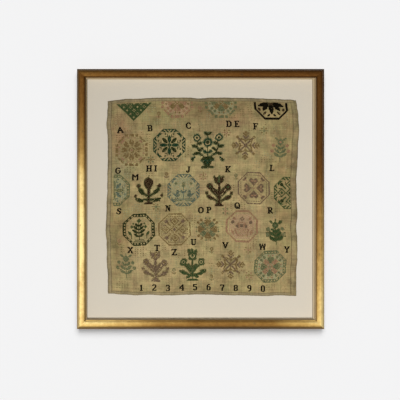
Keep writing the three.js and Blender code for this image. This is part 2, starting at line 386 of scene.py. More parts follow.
def rail_section():
    """The moulding's closed section as arrays of inset and depth, from the back of the outer side: the
    side, a narrow step, a bead, a quirk, a slope to the nose, the sight edge and the rebate. Each half
    of the bead is a quarter of a squared circle: its share out from the crest and its share up, both
    raised to the bead's squareness, add up to one."""
    power = 2 / BEAD_SQUARENESS
    quarter = np.linspace(0, np.pi / 2, 16)
    rise, rise_height = 1 - np.cos(quarter) ** power, np.sin(quarter) ** power
    fall, fall_height = np.sin(quarter[1:]) ** power, np.cos(quarter[1:]) ** power
    quirk_across, quirk_down = np.array(QUIRK).T
    slope = np.linspace(0, 1, 5)[1:]
    slope_inset = BEAD_END_INSET + QUIRK_WIDTH
    wall_inset = RAIL_WIDTH - REBATE_WIDTH
    runs = (
        (np.zeros(5), np.linspace(0, SIDE_DEPTH, 5)),
        (np.linspace(0, STEP_WIDTH, 6)[1:-1],
         SIDE_DEPTH + np.linspace(0, STEP_DEPTH - SIDE_DEPTH, 6)[1:-1]),
        (STEP_WIDTH + (CREST_INSET - STEP_WIDTH) * rise,
         STEP_DEPTH + (RAIL_DEPTH - STEP_DEPTH) * rise_height),
        (CREST_INSET + (BEAD_END_INSET - CREST_INSET) * fall,
         BEAD_END_DEPTH + (RAIL_DEPTH - BEAD_END_DEPTH) * fall_height),
        (BEAD_END_INSET + QUIRK_WIDTH * quirk_across, SLOPE_DEPTH - QUIRK_DEPTH * quirk_down),
        (slope_inset + (NOSE_INSET - slope_inset) * slope,
         SLOPE_DEPTH + (NOSE_DEPTH - SLOPE_DEPTH) * slope),
        np.array(SIGHT_EDGE).T * MM,
        (np.linspace(RAIL_WIDTH, wall_inset, 4), np.full(4, REBATE_DEPTH)),
        (np.full(4, wall_inset), np.linspace(REBATE_DEPTH, 0, 5)[1:]),
        (np.linspace(wall_inset, 0, 4)[1:-1], np.zeros(2)),
    )
    return np.concatenate(runs, axis=1)


# Painted highlight of the gilding round the frame, standing in for the lamps' reflections: places in
# millimetres from the centre, along X on the top and bottom rails and along Z on the sides, and how bright
# the gold is painted there
PAINTED_GLOW_ALONG_RAILS = {
    "bottom": (
        (-216, 0.92), (-140, 0.63), (-80, 0.41), (-10, 0.265), (60, 0.26), (130, 0.335), (180, 0.54),
        (216, 0.78),
    ),
    "left": (
        (-228, 0.80), (-165, 0.90), (-90, 1.00), (-10, 0.98), (40, 0.80), (85, 0.45), (150, 0.24),
        (228, 0.16),
    ),
    "top": ((-216, 0.27), (-100, 0.18), (60, 0.12), (216, 0.08)),
    "right": ((-228, 0.84), (-170, 0.71), (-90, 0.56), (0, 0.29), (85, 0.08), (228, 0.05)),
}
# Leaf and painted light of each rail: the insets in millimetres where the leaf begins and ends and where the
# lip begins, set per rail partly to paint shade on the outer edge and the quirk; how pale the lip is,
# painted light and shade on its slope; and how much of the painted highlight is lost from the outer edge to
# the lip
RAIL_LEAF_AND_PAINTED_LIGHT = {
    "bottom": (4.8, 15.3, 16.0, 0.10, -1.2),
    "left": (2.8, 14.2, 15.7, 0.62, 0.45),
    "top": (3.0, 15.2, 15.5, 1.0, 0.0),
    "right": (1.5, 15.6, 14.4, 1.0, 1.0),
}
# How far the lip's painted light follows the painted highlight
LIP_FOLLOWS_PAINTED_GLOW = 0.7
# Dents and rubbed spots: the rail, the place along it, the inset, the radius and the depth in millimetres
DENTS = (
    ("left", -46, 6.4, 1.0, 0.5),
    ("left", 118, 10.5, 1.6, 0.3),
    ("bottom", -62, 5.2, 1.4, 0.3),
    ("bottom", 94, 11.0, 1.8, 0.35),
    ("right", -96, 9.0, 1.5, 0.3),
    ("top", -150, 4.6, 1.5, 0.3),
    ("top", 72, 10.2, 1.6, 0.3),
)


def worn_face(side, place, along, inset, depth, quarter):
    """The depths of a rail, its face lowered by soft waves and by a bell at each dent, and how near each
    point is to a dent, from 0 to 1."""
    face = depth > SIDE_DEPTH
    wobble = 1 + waves(along, inset * 2, 20 + quarter, 90 * MM, 7 * MM, 12)
    depth = depth - np.where(face, RAIL_WOBBLE * np.clip(wobble, 0, 2), 0)
    speck = np.zeros(depth.shape)
    for rail, where, dent_inset, radius, drop in DENTS:
        if rail == side:
            reach = np.hypot(place - where * MM, inset - dent_inset * MM) / (radius * MM)
            bell = np.exp(-reach**2)
            depth = depth - np.where(face, drop * MM * bell, 0)
            speck = np.maximum(speck, bell)
    return depth, speck


def rail_leaf_and_painted_light(side, place, inset):
    """What a rail's finish reads at each point: its painted highlight, which stands in for the lamps'
    reflections, its lip's painted light and shade, and where across the rail's width the leaf begins and
    ends and the lip begins, edges that also paint shade on the outer edge and the quirk."""
    leaf_start, leaf_end, lip_start, lip_painted_light, highlight_tilt = RAIL_LEAF_AND_PAINTED_LIGHT[side]
    painted_glow_at, painted_glow = np.array(PAINTED_GLOW_ALONG_RAILS[side]).T
    painted_glow = np.interp(place, painted_glow_at * MM, painted_glow)
    edges = {"leaf_start": leaf_start, "leaf_end": leaf_end, "lip_start": lip_start}
    return {
        "painted_highlight": painted_glow * (1 + highlight_tilt * (0.5 - inset / RAIL_WIDTH)),
        "lip": lip_painted_light + (1 - lip_painted_light) * LIP_FOLLOWS_PAINTED_GLOW * painted_glow,
        **{name: np.full(inset.shape, edge * MM / RAIL_WIDTH) for name, edge in edges.items()},
    }


def rail_mesh(side, quarter):
    """A rail as the bottom one lies, carried along X, then turned a number of quarters about Y. A point
    of the section runs from -(length / 2 - inset) to +(length / 2 - inset), which mitres both ends."""
    upright = side in ("left", "right")
    length, span = (FRAME_HEIGHT, FRAME_WIDTH) if upright else (FRAME_WIDTH, FRAME_HEIGHT)
    section, section_depth = rail_section()
    station = np.linspace(-1, 1, RAIL_STATIONS)
    along = station[:, None] * (length / 2 - section - MITRE_GAP / 2)[None, :]
    inset = np.broadcast_to(section, along.shape)
    turn = quarter * math.pi / 2
    low_z = inset - span / 2
    x = along * math.cos(turn) + low_z * math.sin(turn)
    z = low_z * math.cos(turn) - along * math.sin(turn)
    place = z if upright else x
    full_depth = np.broadcast_to(section_depth, along.shape)
    depth, speck = worn_face(side, place, along, inset, full_depth, quarter)

    points = np.stack([x, -depth, z], axis=-1).reshape(-1, 3)
    rings, around = along.shape
    caps = np.stack([np.arange(around)[::-1], (rings - 1) * around + np.arange(around)])
    mesh = new_mesh("rail_" + side, points, facing_out(points, [grid_quads(rings, around, True), caps]))
    uv = np.stack([along / length + 0.5, inset / RAIL_WIDTH], axis=-1).reshape(-1, 2)
    set_uv(mesh, uv[corner_points(mesh)])
    for name, values in {"speck": speck, **rail_leaf_and_painted_light(side, place, inset)}.items():
        set_values(mesh, name, values.ravel())
    mesh.set_sharp_from_angle(angle=RAIL_SHARP_ANGLE)

    hidden, outer = section_depth <= REBATE_DEPTH, section == 0
    bare = hidden & np.roll(hidden, -1) & ~(outer & np.roll(outer, -1))
    slots = np.concatenate([np.tile(bare, rings - 1), [True, True]]).astype(np.int32)
    mesh.polygons.foreach_set("material_index", slots)
    return mesh


def make_rails(gilt, bare_wood):
    """The four rails, each a quarter turn on from the one before."""
    rails = []
    for quarter, side in enumerate(("bottom", "left", "top", "right")):
        mesh = rail_mesh(side, quarter)
        rails.append(new_piece("gilt_rail_" + side, mesh, [gilt, bare_wood], ["frame_" + side]))
    return rails


# The cloth

def shares(span, first_hem, last_hem):
    """Shares from 0 to 1 along the cloth: close together over the rim and each hem's fall, and a cloth's
    step apart between them."""
    def over_hem(hem):
        fall = np.linspace(hem, hem + HEM_FALL, 6)[1:]
        return np.concatenate([RIM_SHARES, np.linspace(RIM_SHARES[-1], hem, 3)[1:], fall])

    low, high = over_hem(first_hem), 1 - over_hem(last_hem)[::-1]
    steps = round((high[0] - low[-1]) * span / CLOTH_STEP)
    return np.concatenate([low, np.linspace(low[-1], high[0], steps)[1:-1], high])


def cloth_rim(face, rear, wide, high):
    """The face's border points in turn, the rounded rim's points outside them, and the rim's quads."""
    layer = len(face)
    rim = np.concatenate([
        np.arange(wide - 1),
        np.arange(high - 1) * wide + wide - 1,
        (high - 1) * wide + np.arange(wide - 1, 0, -1),
        np.arange(high - 1, 0, -1) * wide,
    ])
    away = (face[rim] - face.mean(axis=0)) * (1, 0, 1)
    bulge = RIM_BULGE * away / np.linalg.norm(away, axis=1, keepdims=True)
    middle = (face[rim] + rear[rim]) / 2 + bulge
    ring = 2 * layer + np.arange(len(rim))
    following = np.roll(np.arange(len(rim)), -1)
    upper = np.stack([rim[following], rim, ring, ring[following]], axis=-1)
    lower = np.stack([ring[following], ring, layer + rim, layer + rim[following]], axis=-1)
    return rim, middle, np.concatenate([upper, lower])


def cloth_mesh():
    """A grid of shares for the face and the same grid for the back, joined by a rounded rim. The face
    stands off the back by the cloth's thickness and its hems, gathered and then rounded off towards the
    rim, and the outline waves a little, less and less inwards."""
    columns = shares(CLOTH_FLAT[0], LEFT_HEM, RIGHT_HEM)
    rows = shares(CLOTH_FLAT[1], END_HEM, END_HEM)
    s, t = np.meshgrid(columns, rows)
    x, z = on_cloth(s, t)
    from_side = np.minimum(s, 1 - s) * CLOTH_FLAT[0]
    from_end = np.minimum(t, 1 - t) * CLOTH_FLAT[1]
    from_rim = np.minimum(from_side, from_end)
    x = x + LOOSE * waves(x, z, 31, 30 * MM, 4 * MM, 10) * np.exp(-from_side / LOOSE_REACH)
    z = z + LOOSE * waves(x, z, 32, 30 * MM, 4 * MM, 10) * np.exp(-from_end / LOOSE_REACH)
    back = cloth_back(x, z)
    rounding = RIM_DROP * (1 - ease(from_rim / RIM_REACH))
    gather = GATHER * (1 + waves(x, z, 33, 11 * MM, 5 * MM, 6)) * np.exp(-from_rim / GATHER_REACH)
    front = back + CLOTH_THICKNESS + hem_rise(s, t) + gather - rounding
    high, wide = s.shape
    face = np.stack([x, -front, z], axis=-1).reshape(-1, 3)
    rear = np.stack([x, -back, z], axis=-1).reshape(-1, 3)
    rim, middle, rim_quads = cloth_rim(face, rear, wide, high)
    face_quads = grid_quads(high, wide)
    quads = np.concatenate([face_quads, face_quads[:, ::-1] + len(face), rim_quads])
    points = np.concatenate([face, rear, middle])
    mesh = new_mesh("linen_cloth", points, facing_out(points, [quads]))

    flat = np.stack([s * CLOTH_FLAT[0], t * CLOTH_FLAT[1]], axis=-1).reshape(-1, 2)
    set_uv(mesh, np.concatenate([flat, flat, flat[rim]])[corner_points(mesh)])
    set_colours(mesh, "stain", stain_colours(points[:, 0], points[:, 2]))
    greyed = np.interp(s, (1 - 2 * RIGHT_HEM, 1 - RIGHT_HEM), (1, RIGHT_HEM_GREYING))
    for name, values, at_rim in (
        ("hem", greyed * np.clip(hem_rise(s, t) / END_HEM_RISE, 0, 1), 1),
        ("seam", seam_shade(s, t), 0),
        ("rim", np.exp(-from_rim / RIM_DARK_REACH), 1),
    ):
        set_values(mesh, name, np.concatenate([values.ravel(), values.ravel(), np.full(len(rim), at_rim)]))
    return mesh


def stain_colours(x, z):
    """The linen's colour at each point: the plain linen, then each stain blended over it by a bell whose
    edge wanders with soft noise."""
    moved_x = x + STAIN_WANDER * waves(x, z, 41, 60 * MM, 14 * MM, 8)
    moved_z = z + STAIN_WANDER * waves(x, z, 42, 60 * MM, 14 * MM, 8)
    colour = np.tile(linear(*LINEN)[:3], (len(x), 1))
    for centre_x, centre_z, width, height, strength, stain in STAINS:
        across = (moved_x - centre_x * MM) / (width * MM)
        up = (moved_z - centre_z * MM) / (height * MM)
        share = strength * np.exp(-((across**2 + up**2) ** 1.3))[:, None]
        colour = colour * (1 - share) + np.array(linear(*stain)[:3]) * share
    return colour


# The stitches

def leg_points(width):
    """One leg of a stitch, two tips and two rings of three points, as rows of share along the leg,
    metres sideways and out, and 1 where the leg's own rise lifts the point."""
    ring = ((-0.5, 0.0), (0.5, 0.0), (0.0, 1.0))
    rows = [(0.0, 0.0, -TIP_DEPTH, 0)]
    for share in (TAPER_SHARE, 1 - TAPER_SHARE):
        rows += [(share, side * width, out * THREAD_RISE, 1) for side, out in ring]
    rows += [(1.0, 0.0, -TIP_DEPTH, 0)]
    return np.array(rows).T


def leg_faces():
    """A leg's three long quads and six tip triangles, and their UV: share along, and sides round."""
    low, high = TAPER_SHARE, 1 - TAPER_SHARE
    edges = ((0, 1), (1, 2), (2, 0))
    quads = np.array([(1 + a, 1 + b, 4 + b, 4 + a) for a, b in edges])
    tips = np.array([(0, 1 + b, 1 + a) for a, b in edges] + [(4 + a, 4 + b, 7) for a, b in edges])
    quad_uv = np.array([((low, k), (low, k + 1), (high, k + 1), (high, k)) for k in range(LEG_SIDES)])
    first_uv = [((0.0, k + 0.5), (low, k + 1), (low, k)) for k in range(LEG_SIDES)]
    last_uv = [((high, k), (high, k + 1), (1.0, k + 0.5)) for k in range(LEG_SIDES)]
    return quads, tips, quad_uv.reshape(-1, 2), np.array(first_uv + last_uv).reshape(-1, 2)


def lay_legs(start, end, rises, cloth_depth, width):
    """Points of many legs: each runs from its start to its end across the picture, its sideways axis is
    that run turned a quarter, and it stands out from the cloth's face under its two ends."""
    run = end - start
    side = np.stack([-run[:, 1], run[:, 0]], axis=-1) / np.linalg.norm(run, axis=1, keepdims=True)
    along, aside, out, lifted = leg_points(width)
    across = start[:, None] + run[:, None] * along[:, None] + side[:, None] * aside[:, None]
    under = cloth_depth[0][:, None] * (1 - along) + cloth_depth[1][:, None] * along
    depth = under + out + rises[:, None] * lifted
    return np.stack([across[..., 0], -depth, across[..., 1]], axis=-1)


def legs_mesh(name, start, end, rises, fade, width=THREAD_WIDTH):
    """One mesh of many legs, whose ends are places on the cloth in stitches from its lower left corner."""
    ends, depths = [], []
    for place in (start, end):
        s, t = place[:, 0] / COUNT_WIDE, place[:, 1] / COUNT_HIGH
        x, z = on_cloth(s, t)
        ends.append(np.stack([x, z], axis=-1))
        depths.append(cloth_back(x, z) + CLOTH_THICKNESS + hem_rise(s, t))
    points = lay_legs(ends[0], ends[1], rises, depths, width)
    count, corners = points.shape[:2]
    quads, tips, quad_uv, tip_uv = leg_faces()
    first = np.arange(count)[:, None, None] * corners
    face_sets = [(first + quads).reshape(-1, 4), (first + tips).reshape(-1, 3)]
    mesh = new_mesh(name, points.reshape(-1, 3), face_sets)
    set_uv(mesh, np.concatenate([np.tile(quad_uv, (count, 1)), np.tile(tip_uv, (count, 1))]))
    set_values(mesh, "fade", np.repeat(fade, corners))
    return mesh


def leg_ends(cells, start, end, looseness, draw):
    """Ends of one leg in each stitch, from its start to its end as shares of the stitch, each moved a
    little by chance."""
    shift = draw.uniform(-looseness, looseness, (2, len(cells), 2))
    return cells + np.array(start) + shift[0], cells + np.array(end) + shift[1]


def fade_of(cells, draw):
    """How much each stitch has faded, from 0 to 1: soft patches, and a little by chance."""
    patches = 0.5 + 0.5 * waves(cells[:, 0], cells[:, 1], 72, 90, 12, 8)
    return np.clip(patches + draw.normal(0, 0.12, len(cells)), 0, 1)


def ground_mesh(thread, cells):
    """A medallion's ground in half stitches, one leg each, with bare patches where it has worn away."""
    draw = np.random.default_rng(80 + list(GROUNDS).index(thread))
    patchy = 0.5 + 0.5 * waves(cells[:, 0], cells[:, 1], 73, 40, 7, 8)
    cells = cells[draw.random(len(cells)) > 0.10 + 0.25 * np.clip(patchy, 0, 1)]
    start, end = leg_ends(cells, (0.05, 0.05), (0.95, 0.95), 0.06, draw)
    return legs_mesh("ground_" + thread, start, end, np.zeros(len(cells)), fade_of(cells, draw))


def thread_mesh(thread, cells):
    """All crosses of one thread: the under leg of each rises to the right and the upper one falls. A worn
    thread has lost some crosses, and some have kept one leg."""
    draw = np.random.default_rng(60 + list(THREADS).index(thread))
    worn = WORN.get(thread, LEAST_WORN)
    patchy = 0.5 + 0.5 * waves(cells[:, 0], cells[:, 1], 71, 60, 9, 8)
    cells = cells[draw.random(len(cells)) >= worn * (0.4 + 2 * patchy)]
    fade = fade_of(cells, draw)
    whole = draw.random(len(cells)) > worn * 1.5
    low, high = 0.03, 0.97
    under = leg_ends(cells, (low, low), (high, high), 0.05, draw)
    upper = leg_ends(cells, (low, high), (high, low), 0.05, draw)
    start, end = (np.concatenate([below, above[whole]]) for below, above in zip(under, upper))
    rises = np.repeat((0, CROSSING_RISE), (len(cells), whole.sum()))
    width = INK_WIDTH if thread == "ink" else THREAD_WIDTH
    return legs_mesh("stitches_" + thread, start, end, rises, np.concatenate([fade, fade[whole]]), width)


def hem_stitch_mesh():
    """A row of small slanted stitches along the inner line of each hem."""
    draw = np.random.default_rng(90)
    left, right = ((hem + HEM_FALL * 0.4) * COUNT_WIDE for hem in (LEFT_HEM, RIGHT_HEM))
    end = (END_HEM + HEM_FALL * 0.4) * COUNT_HIGH
    up = np.arange(end + 2, COUNT_HIGH - end - 1, HEM_STITCH_PITCH)
    across = np.arange(left + 2, COUNT_WIDE - right - 1, HEM_STITCH_PITCH)
    starts = [
        np.stack([np.full(len(up), left - 0.9), up], axis=-1),
        np.stack([np.full(len(up), COUNT_WIDE - right + 0.9), up], axis=-1),
        np.stack([across, np.full(len(across), end - 0.7)], axis=-1),
        np.stack([across, np.full(len(across), COUNT_HIGH - end + 0.7)], axis=-1),
    ]
    slants = ((1.9, 0.9), (-1.9, 0.9), (0.9, 1.5), (0.9, -1.5))
    start = np.concatenate(starts) + draw.uniform(-0.12, 0.12, (sum(map(len, starts)), 2))
    slant = np.concatenate([np.tile(np.array(s), (len(rows), 1)) for s, rows in zip(slants, starts)])
    rises = np.full(len(start), 0.06 * MM)
    return legs_mesh("hem_stitches", start, start + slant, rises, draw.random(len(start)))


# The columns and rows of stitches that worn dashes fill, how far they stay from charted stitches, and
# how near to nothing the noise that chooses their thread is where they are mist
DOT_COLUMNS = (10, COUNT_WIDE - 13)
DOT_ROWS = (8, COUNT_HIGH - 8)
DOT_CLEARANCE = 2
MIST_SHARE = 0.2


def charted_cells():
    """The cells of every motif, letter and numeral, by thread, in stitches from the cloth's corner."""
    cells = {thread: [] for thread in (*THREADS, *GROUNDS)}
    placed = [(MOTIFS[name](), threads, column, row) for name, threads, column, row in LAYOUT]
    for letter, column, row in LETTER_ROWS + NUMERALS:
        placed.append((written(LETTERS[letter].split("/")), ("ink",), column, row))
    for chart, threads, column, row in placed:
        corner = np.array((column - chart.shape[1] // 2, row - chart.shape[0] // 2))
        for number, thread in enumerate(threads, 1):
            cells[thread] += (np.argwhere(chart == number)[:, ::-1] + corner).tolist()
    for thread, dots in worn_dots(cells).items():
        cells[thread] += dots.tolist()
    return {thread: np.array(sorted(set(map(tuple, group))), float) for thread, group in cells.items()}


def worn_dots(cells):
    """Remains of a worn ground: dashes of two stitches in rows, clear of every charted stitch. They lie
    where one soft noise is high, and a second, wider noise chooses their thread."""
    charted = np.zeros((COUNT_HIGH, COUNT_WIDE), bool)
    column, row = np.array([cell for group in cells.values() for cell in group]).T
    for shift in np.ndindex(DOT_CLEARANCE * 2 + 1, DOT_CLEARANCE * 2 + 1):
        charted[row + shift[0] - DOT_CLEARANCE, column + shift[1] - DOT_CLEARANCE] = True
    column, row = np.meshgrid(np.arange(*DOT_COLUMNS), np.arange(*DOT_ROWS))
    wear = waves(column, row, 75, 60, 12, 8)
    dotted = (column % 4 < 2) & (row % 3 == 0) & (wear > 0.0) & ~charted[row, column]
    kind = waves(column, row, 76, 150, 40, 6)
    chosen = {"straw": kind > MIST_SHARE, "mist": abs(kind) <= MIST_SHARE, "dun": kind < -MIST_SHARE}
    return {thread: np.stack([column, row], axis=-1)[dotted & here] for thread, here in chosen.items()}


def make_sampler(linen, hem_thread, mottle):
    """The cloth, with a piece of stitches for each thread and one for the hems."""
    cloth = new_piece("linen_cloth", cloth_mesh(), [linen], ["sampler_cloth"])
    cells = charted_cells()
    pieces = []
    for label, colours, stitched in (("stitches_", THREADS, thread_mesh), ("ground_", GROUNDS, ground_mesh)):
        for thread, colour in colours.items():
            material = thread_material(thread, colour, mottle)
            pieces.append(new_piece(label + thread, stitched(thread, cells[thread]), [material]))
    pieces.append(new_piece("hem_stitches", hem_stitch_mesh(), [hem_thread]))
    return [cloth, *pieces]


# Charts of the motifs on the stitch grid

FOLDS = {
    "all": lambda x, y: (np.maximum(abs(x), abs(y)), np.minimum(abs(x), abs(y))),
    "four": lambda x, y: (abs(x), abs(y)),
    "side": lambda x, y: (abs(x), y),
}


def grid(half_wide, half_high):
    """Stitch places from the motif's centre: x to the right, y up."""
    return np.meshgrid(np.arange(-half_wide, half_wide + 1), np.arange(-half_high, half_high + 1))


STROKE_SPREAD = 0.35
RING_SPREAD = 0.3


def stroke(x, y, form, ax, ay, bx, by, width):
    """Stitches within half a width of the line from a to b. A leaf's width swells and shrinks as half
    a sine wave, a drop's grows from a to b as a square root, and a line's stays the same."""
    run = np.array([bx - ax, by - ay], float)
    length = max(np.hypot(*run), 1e-6)
    t = np.clip(((x - ax) * run[0] + (y - ay) * run[1]) / length**2, 0, 1)
    distance = np.hypot(x - ax - t * run[0], y - ay - t * run[1])
    swell = {"line": 1.0, "leaf": np.sin(np.pi * (0.08 + 0.84 * t)), "drop": np.sqrt(t)}[form]
    return distance <= width / 2 * swell + STROKE_SPREAD


def ring(x, y, form, cx, cy, radius, width):
    """Stitches of a hoop, or of a whole disc where the width is as large as the radius."""
    distance = np.hypot(x - cx, y - cy)
    if form == "diamond":
        distance = abs(x - cx) + abs(y - cy)
    return (distance <= radius + RING_SPREAD) & (distance > radius - width)


def drawn(half_wide, half_high, fold, rows):
    """A motif's chart: each row is a form, its numbers, and the thread, 1 or 2, or 0 to leave bare."""
    x, y = FOLDS[fold](*grid(half_wide, half_high))
    chart = np.zeros(x.shape, int)
    for form, numbers, thread in rows:
        if form in ("line", "leaf", "drop"):
            marked = stroke(x, y, form, *numbers)
        else:
            marked = ring(x, y, form, *numbers)
        chart[marked] = thread
    return chart


# Bands round an octagon, from the stitches inwards from its edge and the stitches along it
BANDS = {
    "plain": lambda inwards, along: inwards <= 2,
    "double": lambda inwards, along: (inwards <= 1) | ((inwards == 4) & (along % 3 < 2)),
    "dashed": lambda inwards, along: (inwards <= 3) & (along % 6 < 4),
    "rope": lambda inwards, along: (inwards == 0) | ((inwards <= 4) & ((along + inwards) % 5 < 3)),
    "ladder": lambda inwards, along: (inwards <= 1) | (inwards == 4) | ((inwards < 4) & (along % 4 < 2)),
}
BAND_DEPTH = 4


def medallion(radius, inner, band):
    """An octagon's band, its ground as thread 3, and the inner chart at its centre. How far inwards a
    stitch lies is the least distance to the octagon's straight and slanted sides."""
    x, y = grid(radius, radius)
    inwards = np.minimum(radius - np.maximum(abs(x), abs(y)), np.floor(1.43 * radius) - abs(x) - abs(y))
    along = np.minimum(abs(x), abs(y))
    chart = np.where(inwards > BAND_DEPTH, 3, 0)
    chart[(inwards >= 0) & BANDS[band](inwards, along)] = 1
    high, wide = inner.shape
    top, left = radius - high // 2, radius - wide // 2
    place = chart[top:top + high, left:left + wide]
    inside = inwards[top:top + high, left:left + wide] > BAND_DEPTH
    place[(inner > 0) & inside] = inner[(inner > 0) & inside]
    return chart


def half(chart, side):
    """One half of a chart, with its middle line kept: the left, right or bottom half."""
    high, wide = chart.shape
    return {
        "left": chart[:, : wide // 2 + 1],
        "right": chart[:, wide // 2:],
        "bottom": chart[: high // 2 + 1],
    }[side]


def written(rows):
    """A chart from rows of text, top row first, where x is a stitch of thread 1 and o one of thread 2."""
    keys = {"x": 1, "o": 2, ".": 0}
    return np.array([[keys[letter] for letter in row] for row in rows[::-1]])


def fringed(chart, seed):
    """A chart with thread 3 on bare stitches beside its own, in the patches where soft noise is high."""
    high, wide = chart.shape
    marked = np.pad(chart > 0, 1)
    beside = np.zeros(chart.shape, bool)
    for down, across in np.ndindex(3, 3):
        beside |= marked[down:down + high, across:across + wide]
    column, row = np.meshgrid(np.arange(wide), np.arange(high))
    return np.where((chart == 0) & beside & (waves(column, row, seed, 30, 8, 6) > -0.15), 3, chart)


STAR = [
    ("disc", (0, 0, 2, 9), 1),
    ("leaf", (3, 0, 14, 0, 4.4), 1),
    ("leaf", (3, 3, 10, 10, 4.0), 2),
    ("line", (12, 3, 15, 3, 1), 1),
    ("line", (12, 3, 12, 6, 1), 2),
    ("disc", (16, 6, 1, 9), 2),
]
ROSE = [
    ("disc", (0, 0, 3, 1.3), 2),
    ("disc", (0, 0, 1, 9), 1),
    ("drop", (4, 0, 11, 2, 5.5), 1),
    ("drop", (4, 2, 9, 7, 3.6), 2),
    ("line", (13, 0, 16, 0, 1), 1),
    ("disc", (16, 3, 1, 9), 2),
    ("leaf", (12, 8, 15, 11, 2.6), 1),
]
FROST = [
    ("line", (0, 0, 19, 0, 1), 1),
    ("line", (6, 0, 9, 3, 1), 1),
    ("line", (10, 0, 14, 4, 1), 2),
    ("line", (14, 0, 18, 4, 1), 1),
    ("line", (0, 0, 12, 12, 1), 2),
    ("leaf", (8, 4, 10, 8, 2.4), 1),
    ("diamond", (19, 0, 2, 1.2), 1),
    ("diamond", (12, 12, 2, 9), 1),
]
KNOT = [
    ("diamond", (0, 0, 6, 1.3), 1),
    ("diamond", (0, 0, 2, 9), 2),
    ("diamond", (12, 0, 6, 1.3), 1),
    ("diamond", (12, 0, 2, 9), 1),
    ("line", (6, 6, 12, 12, 1), 1),
    ("line", (12, 6, 16, 6, 1), 2),
    ("disc", (12, 12, 2, 9), 2),
]
SUN = [
    ("disc", (0, 0, 4, 1.3), 1),
    ("disc", (0, 0, 1.5, 9), 2),
    ("leaf", (6, 1, 15, 2, 2.6), 1),
    ("leaf", (5, 4, 12, 9, 2.6), 1),
    ("line", (17, 0, 19, 0, 1), 2),
    ("disc", (18, 5, 1, 9), 2),
    ("disc", (14, 12, 1.5, 9), 2),
]
TREE = [
    ("line", (0, -15, 0, 10, 1), 1),
    ("leaf", (1, -10, 7, -6, 3.4), 1),
    ("leaf", (1, -5, 9, 0, 3.4), 1),
    ("leaf", (1, 0, 7, 5, 3.2), 1),
    ("leaf", (1, 5, 5, 9, 2.8), 1),
    ("diamond", (0, 13, 3, 9), 2),
    ("diamond", (10, 4, 2, 9), 2),
    ("diamond", (8, 9, 1.5, 9), 2),
    ("line", (0, -15, 6, -15, 1), 1),
    ("line", (0, -17, 8, -17, 1), 1),
    ("leaf", (11, -8, 15, -3, 3.0), 2),
    ("line", (11, -13, 11, -8, 1), 1),
]
TULIPS = [
    ("line", (0, -22, 0, 8, 1.4), 1),
    ("drop", (0, 8, 0, 15, 9), 1),
    ("diamond", (0, 13, 2, 9), 2),
    ("line", (4, 12, 6, 19, 1.6), 1),
    ("line", (0, 15, 0, 20, 1.4), 2),
    ("line", (0, -12, 9, -2, 1), 1),
    ("line", (9, -2, 12, 1, 1), 1),
    ("disc", (13, 5, 4, 9), 1),
    ("disc", (13, 5, 1.5, 9), 2),
    ("leaf", (1, -7, 8, 3, 3.6), 1),
    ("line", (0, -17, 12, -11, 1), 1),
    ("leaf", (8, -13, 17, -8, 4.0), 1),
    ("disc", (18, -4, 1.5, 9), 1),
    ("line", (0, -22, 5, -22, 2.2), 1),
    ("line", (0, -20, 3, -20, 1.4), 1),
]
ACORNS = [
    ("line", (0, -20, 0, 3, 1.4), 1),
    ("drop", (0, 1, 0, 10, 13), 1),
    ("leaf", (0, 8, 0, 17, 8), 1),
    ("line", (0, 17, 0, 20, 1), 1),
    ("line", (0, -10, 10, -4, 1), 2),
    ("leaf", (8, -6, 15, 2, 5), 2),
    ("line", (0, -14, 12, -15, 1), 2),
    ("leaf", (8, -17, 18, -12, 4.4), 2),
    ("diamond", (15, 6, 2, 9), 1),
    ("diamond", (19, -8, 2, 9), 1),
    ("line", (0, -20, 4, -20, 2.2), 1),
]
VASE = [
    ("line", (0, -25, 8, -25, 1.4), 1),
    ("drop", (0, -26, 0, -16, 13), 1),
    ("line", (0, -15, 8, -15, 1.4), 2),
    ("diamond", (0, -19, 2, 9), 2),
    ("line", (0, -14, 0, 6, 1.2), 1),
    ("line", (1, -14, 12, -4, 1.2), 1),
    ("line", (12, -4, 16, 6, 1.2), 1),
    ("line", (16, 6, 14, 14, 1.2), 1),
    ("leaf", (3, -11, 9, -14, 3.4), 1),
    ("leaf", (12, -4, 21, -6, 4.0), 1),
    ("leaf", (13, -1, 7, 3, 3.4), 1),
    ("leaf", (16, 4, 23, 7, 3.8), 1),
    ("leaf", (15, 9, 9, 11, 3.4), 1),
    ("disc", (16, 18, 5, 1.8), 2),
    ("disc", (16, 18, 1.6, 9), 1),
    ("disc", (0, 11, 6, 2.2), 2),
    ("disc", (0, 11, 2, 9), 1),
    ("leaf", (1, -4, 6, -1, 3), 2),
    ("line", (0, 18, 0, 22, 1.2), 1),
    ("leaf", (0, 22, 5, 26, 3), 1),
    ("line", (22, -14, 18, -10, 1), 2),
    ("diamond", (22, -14, 2.5, 9), 1),
]
SPRIG = [
    ("line", (0, -18, 0, 6, 1.2), 1),
    ("leaf", (1, -12, 9, -6, 3.6), 1),
    ("leaf", (1, -6, 8, 0, 3.6), 1),
    ("leaf", (1, 0, 6, 5, 3.2), 1),
    ("disc", (0, 10, 4, 9), 1),
    ("disc", (0, 10, 1.6, 9), 2),
    ("leaf", (4, 13, 8, 16, 2.6), 1),
    ("line", (0, 14, 0, 18, 1), 1),
    ("disc", (10, 5, 2, 9), 2),
    ("disc", (12, -3, 2, 9), 2),
]
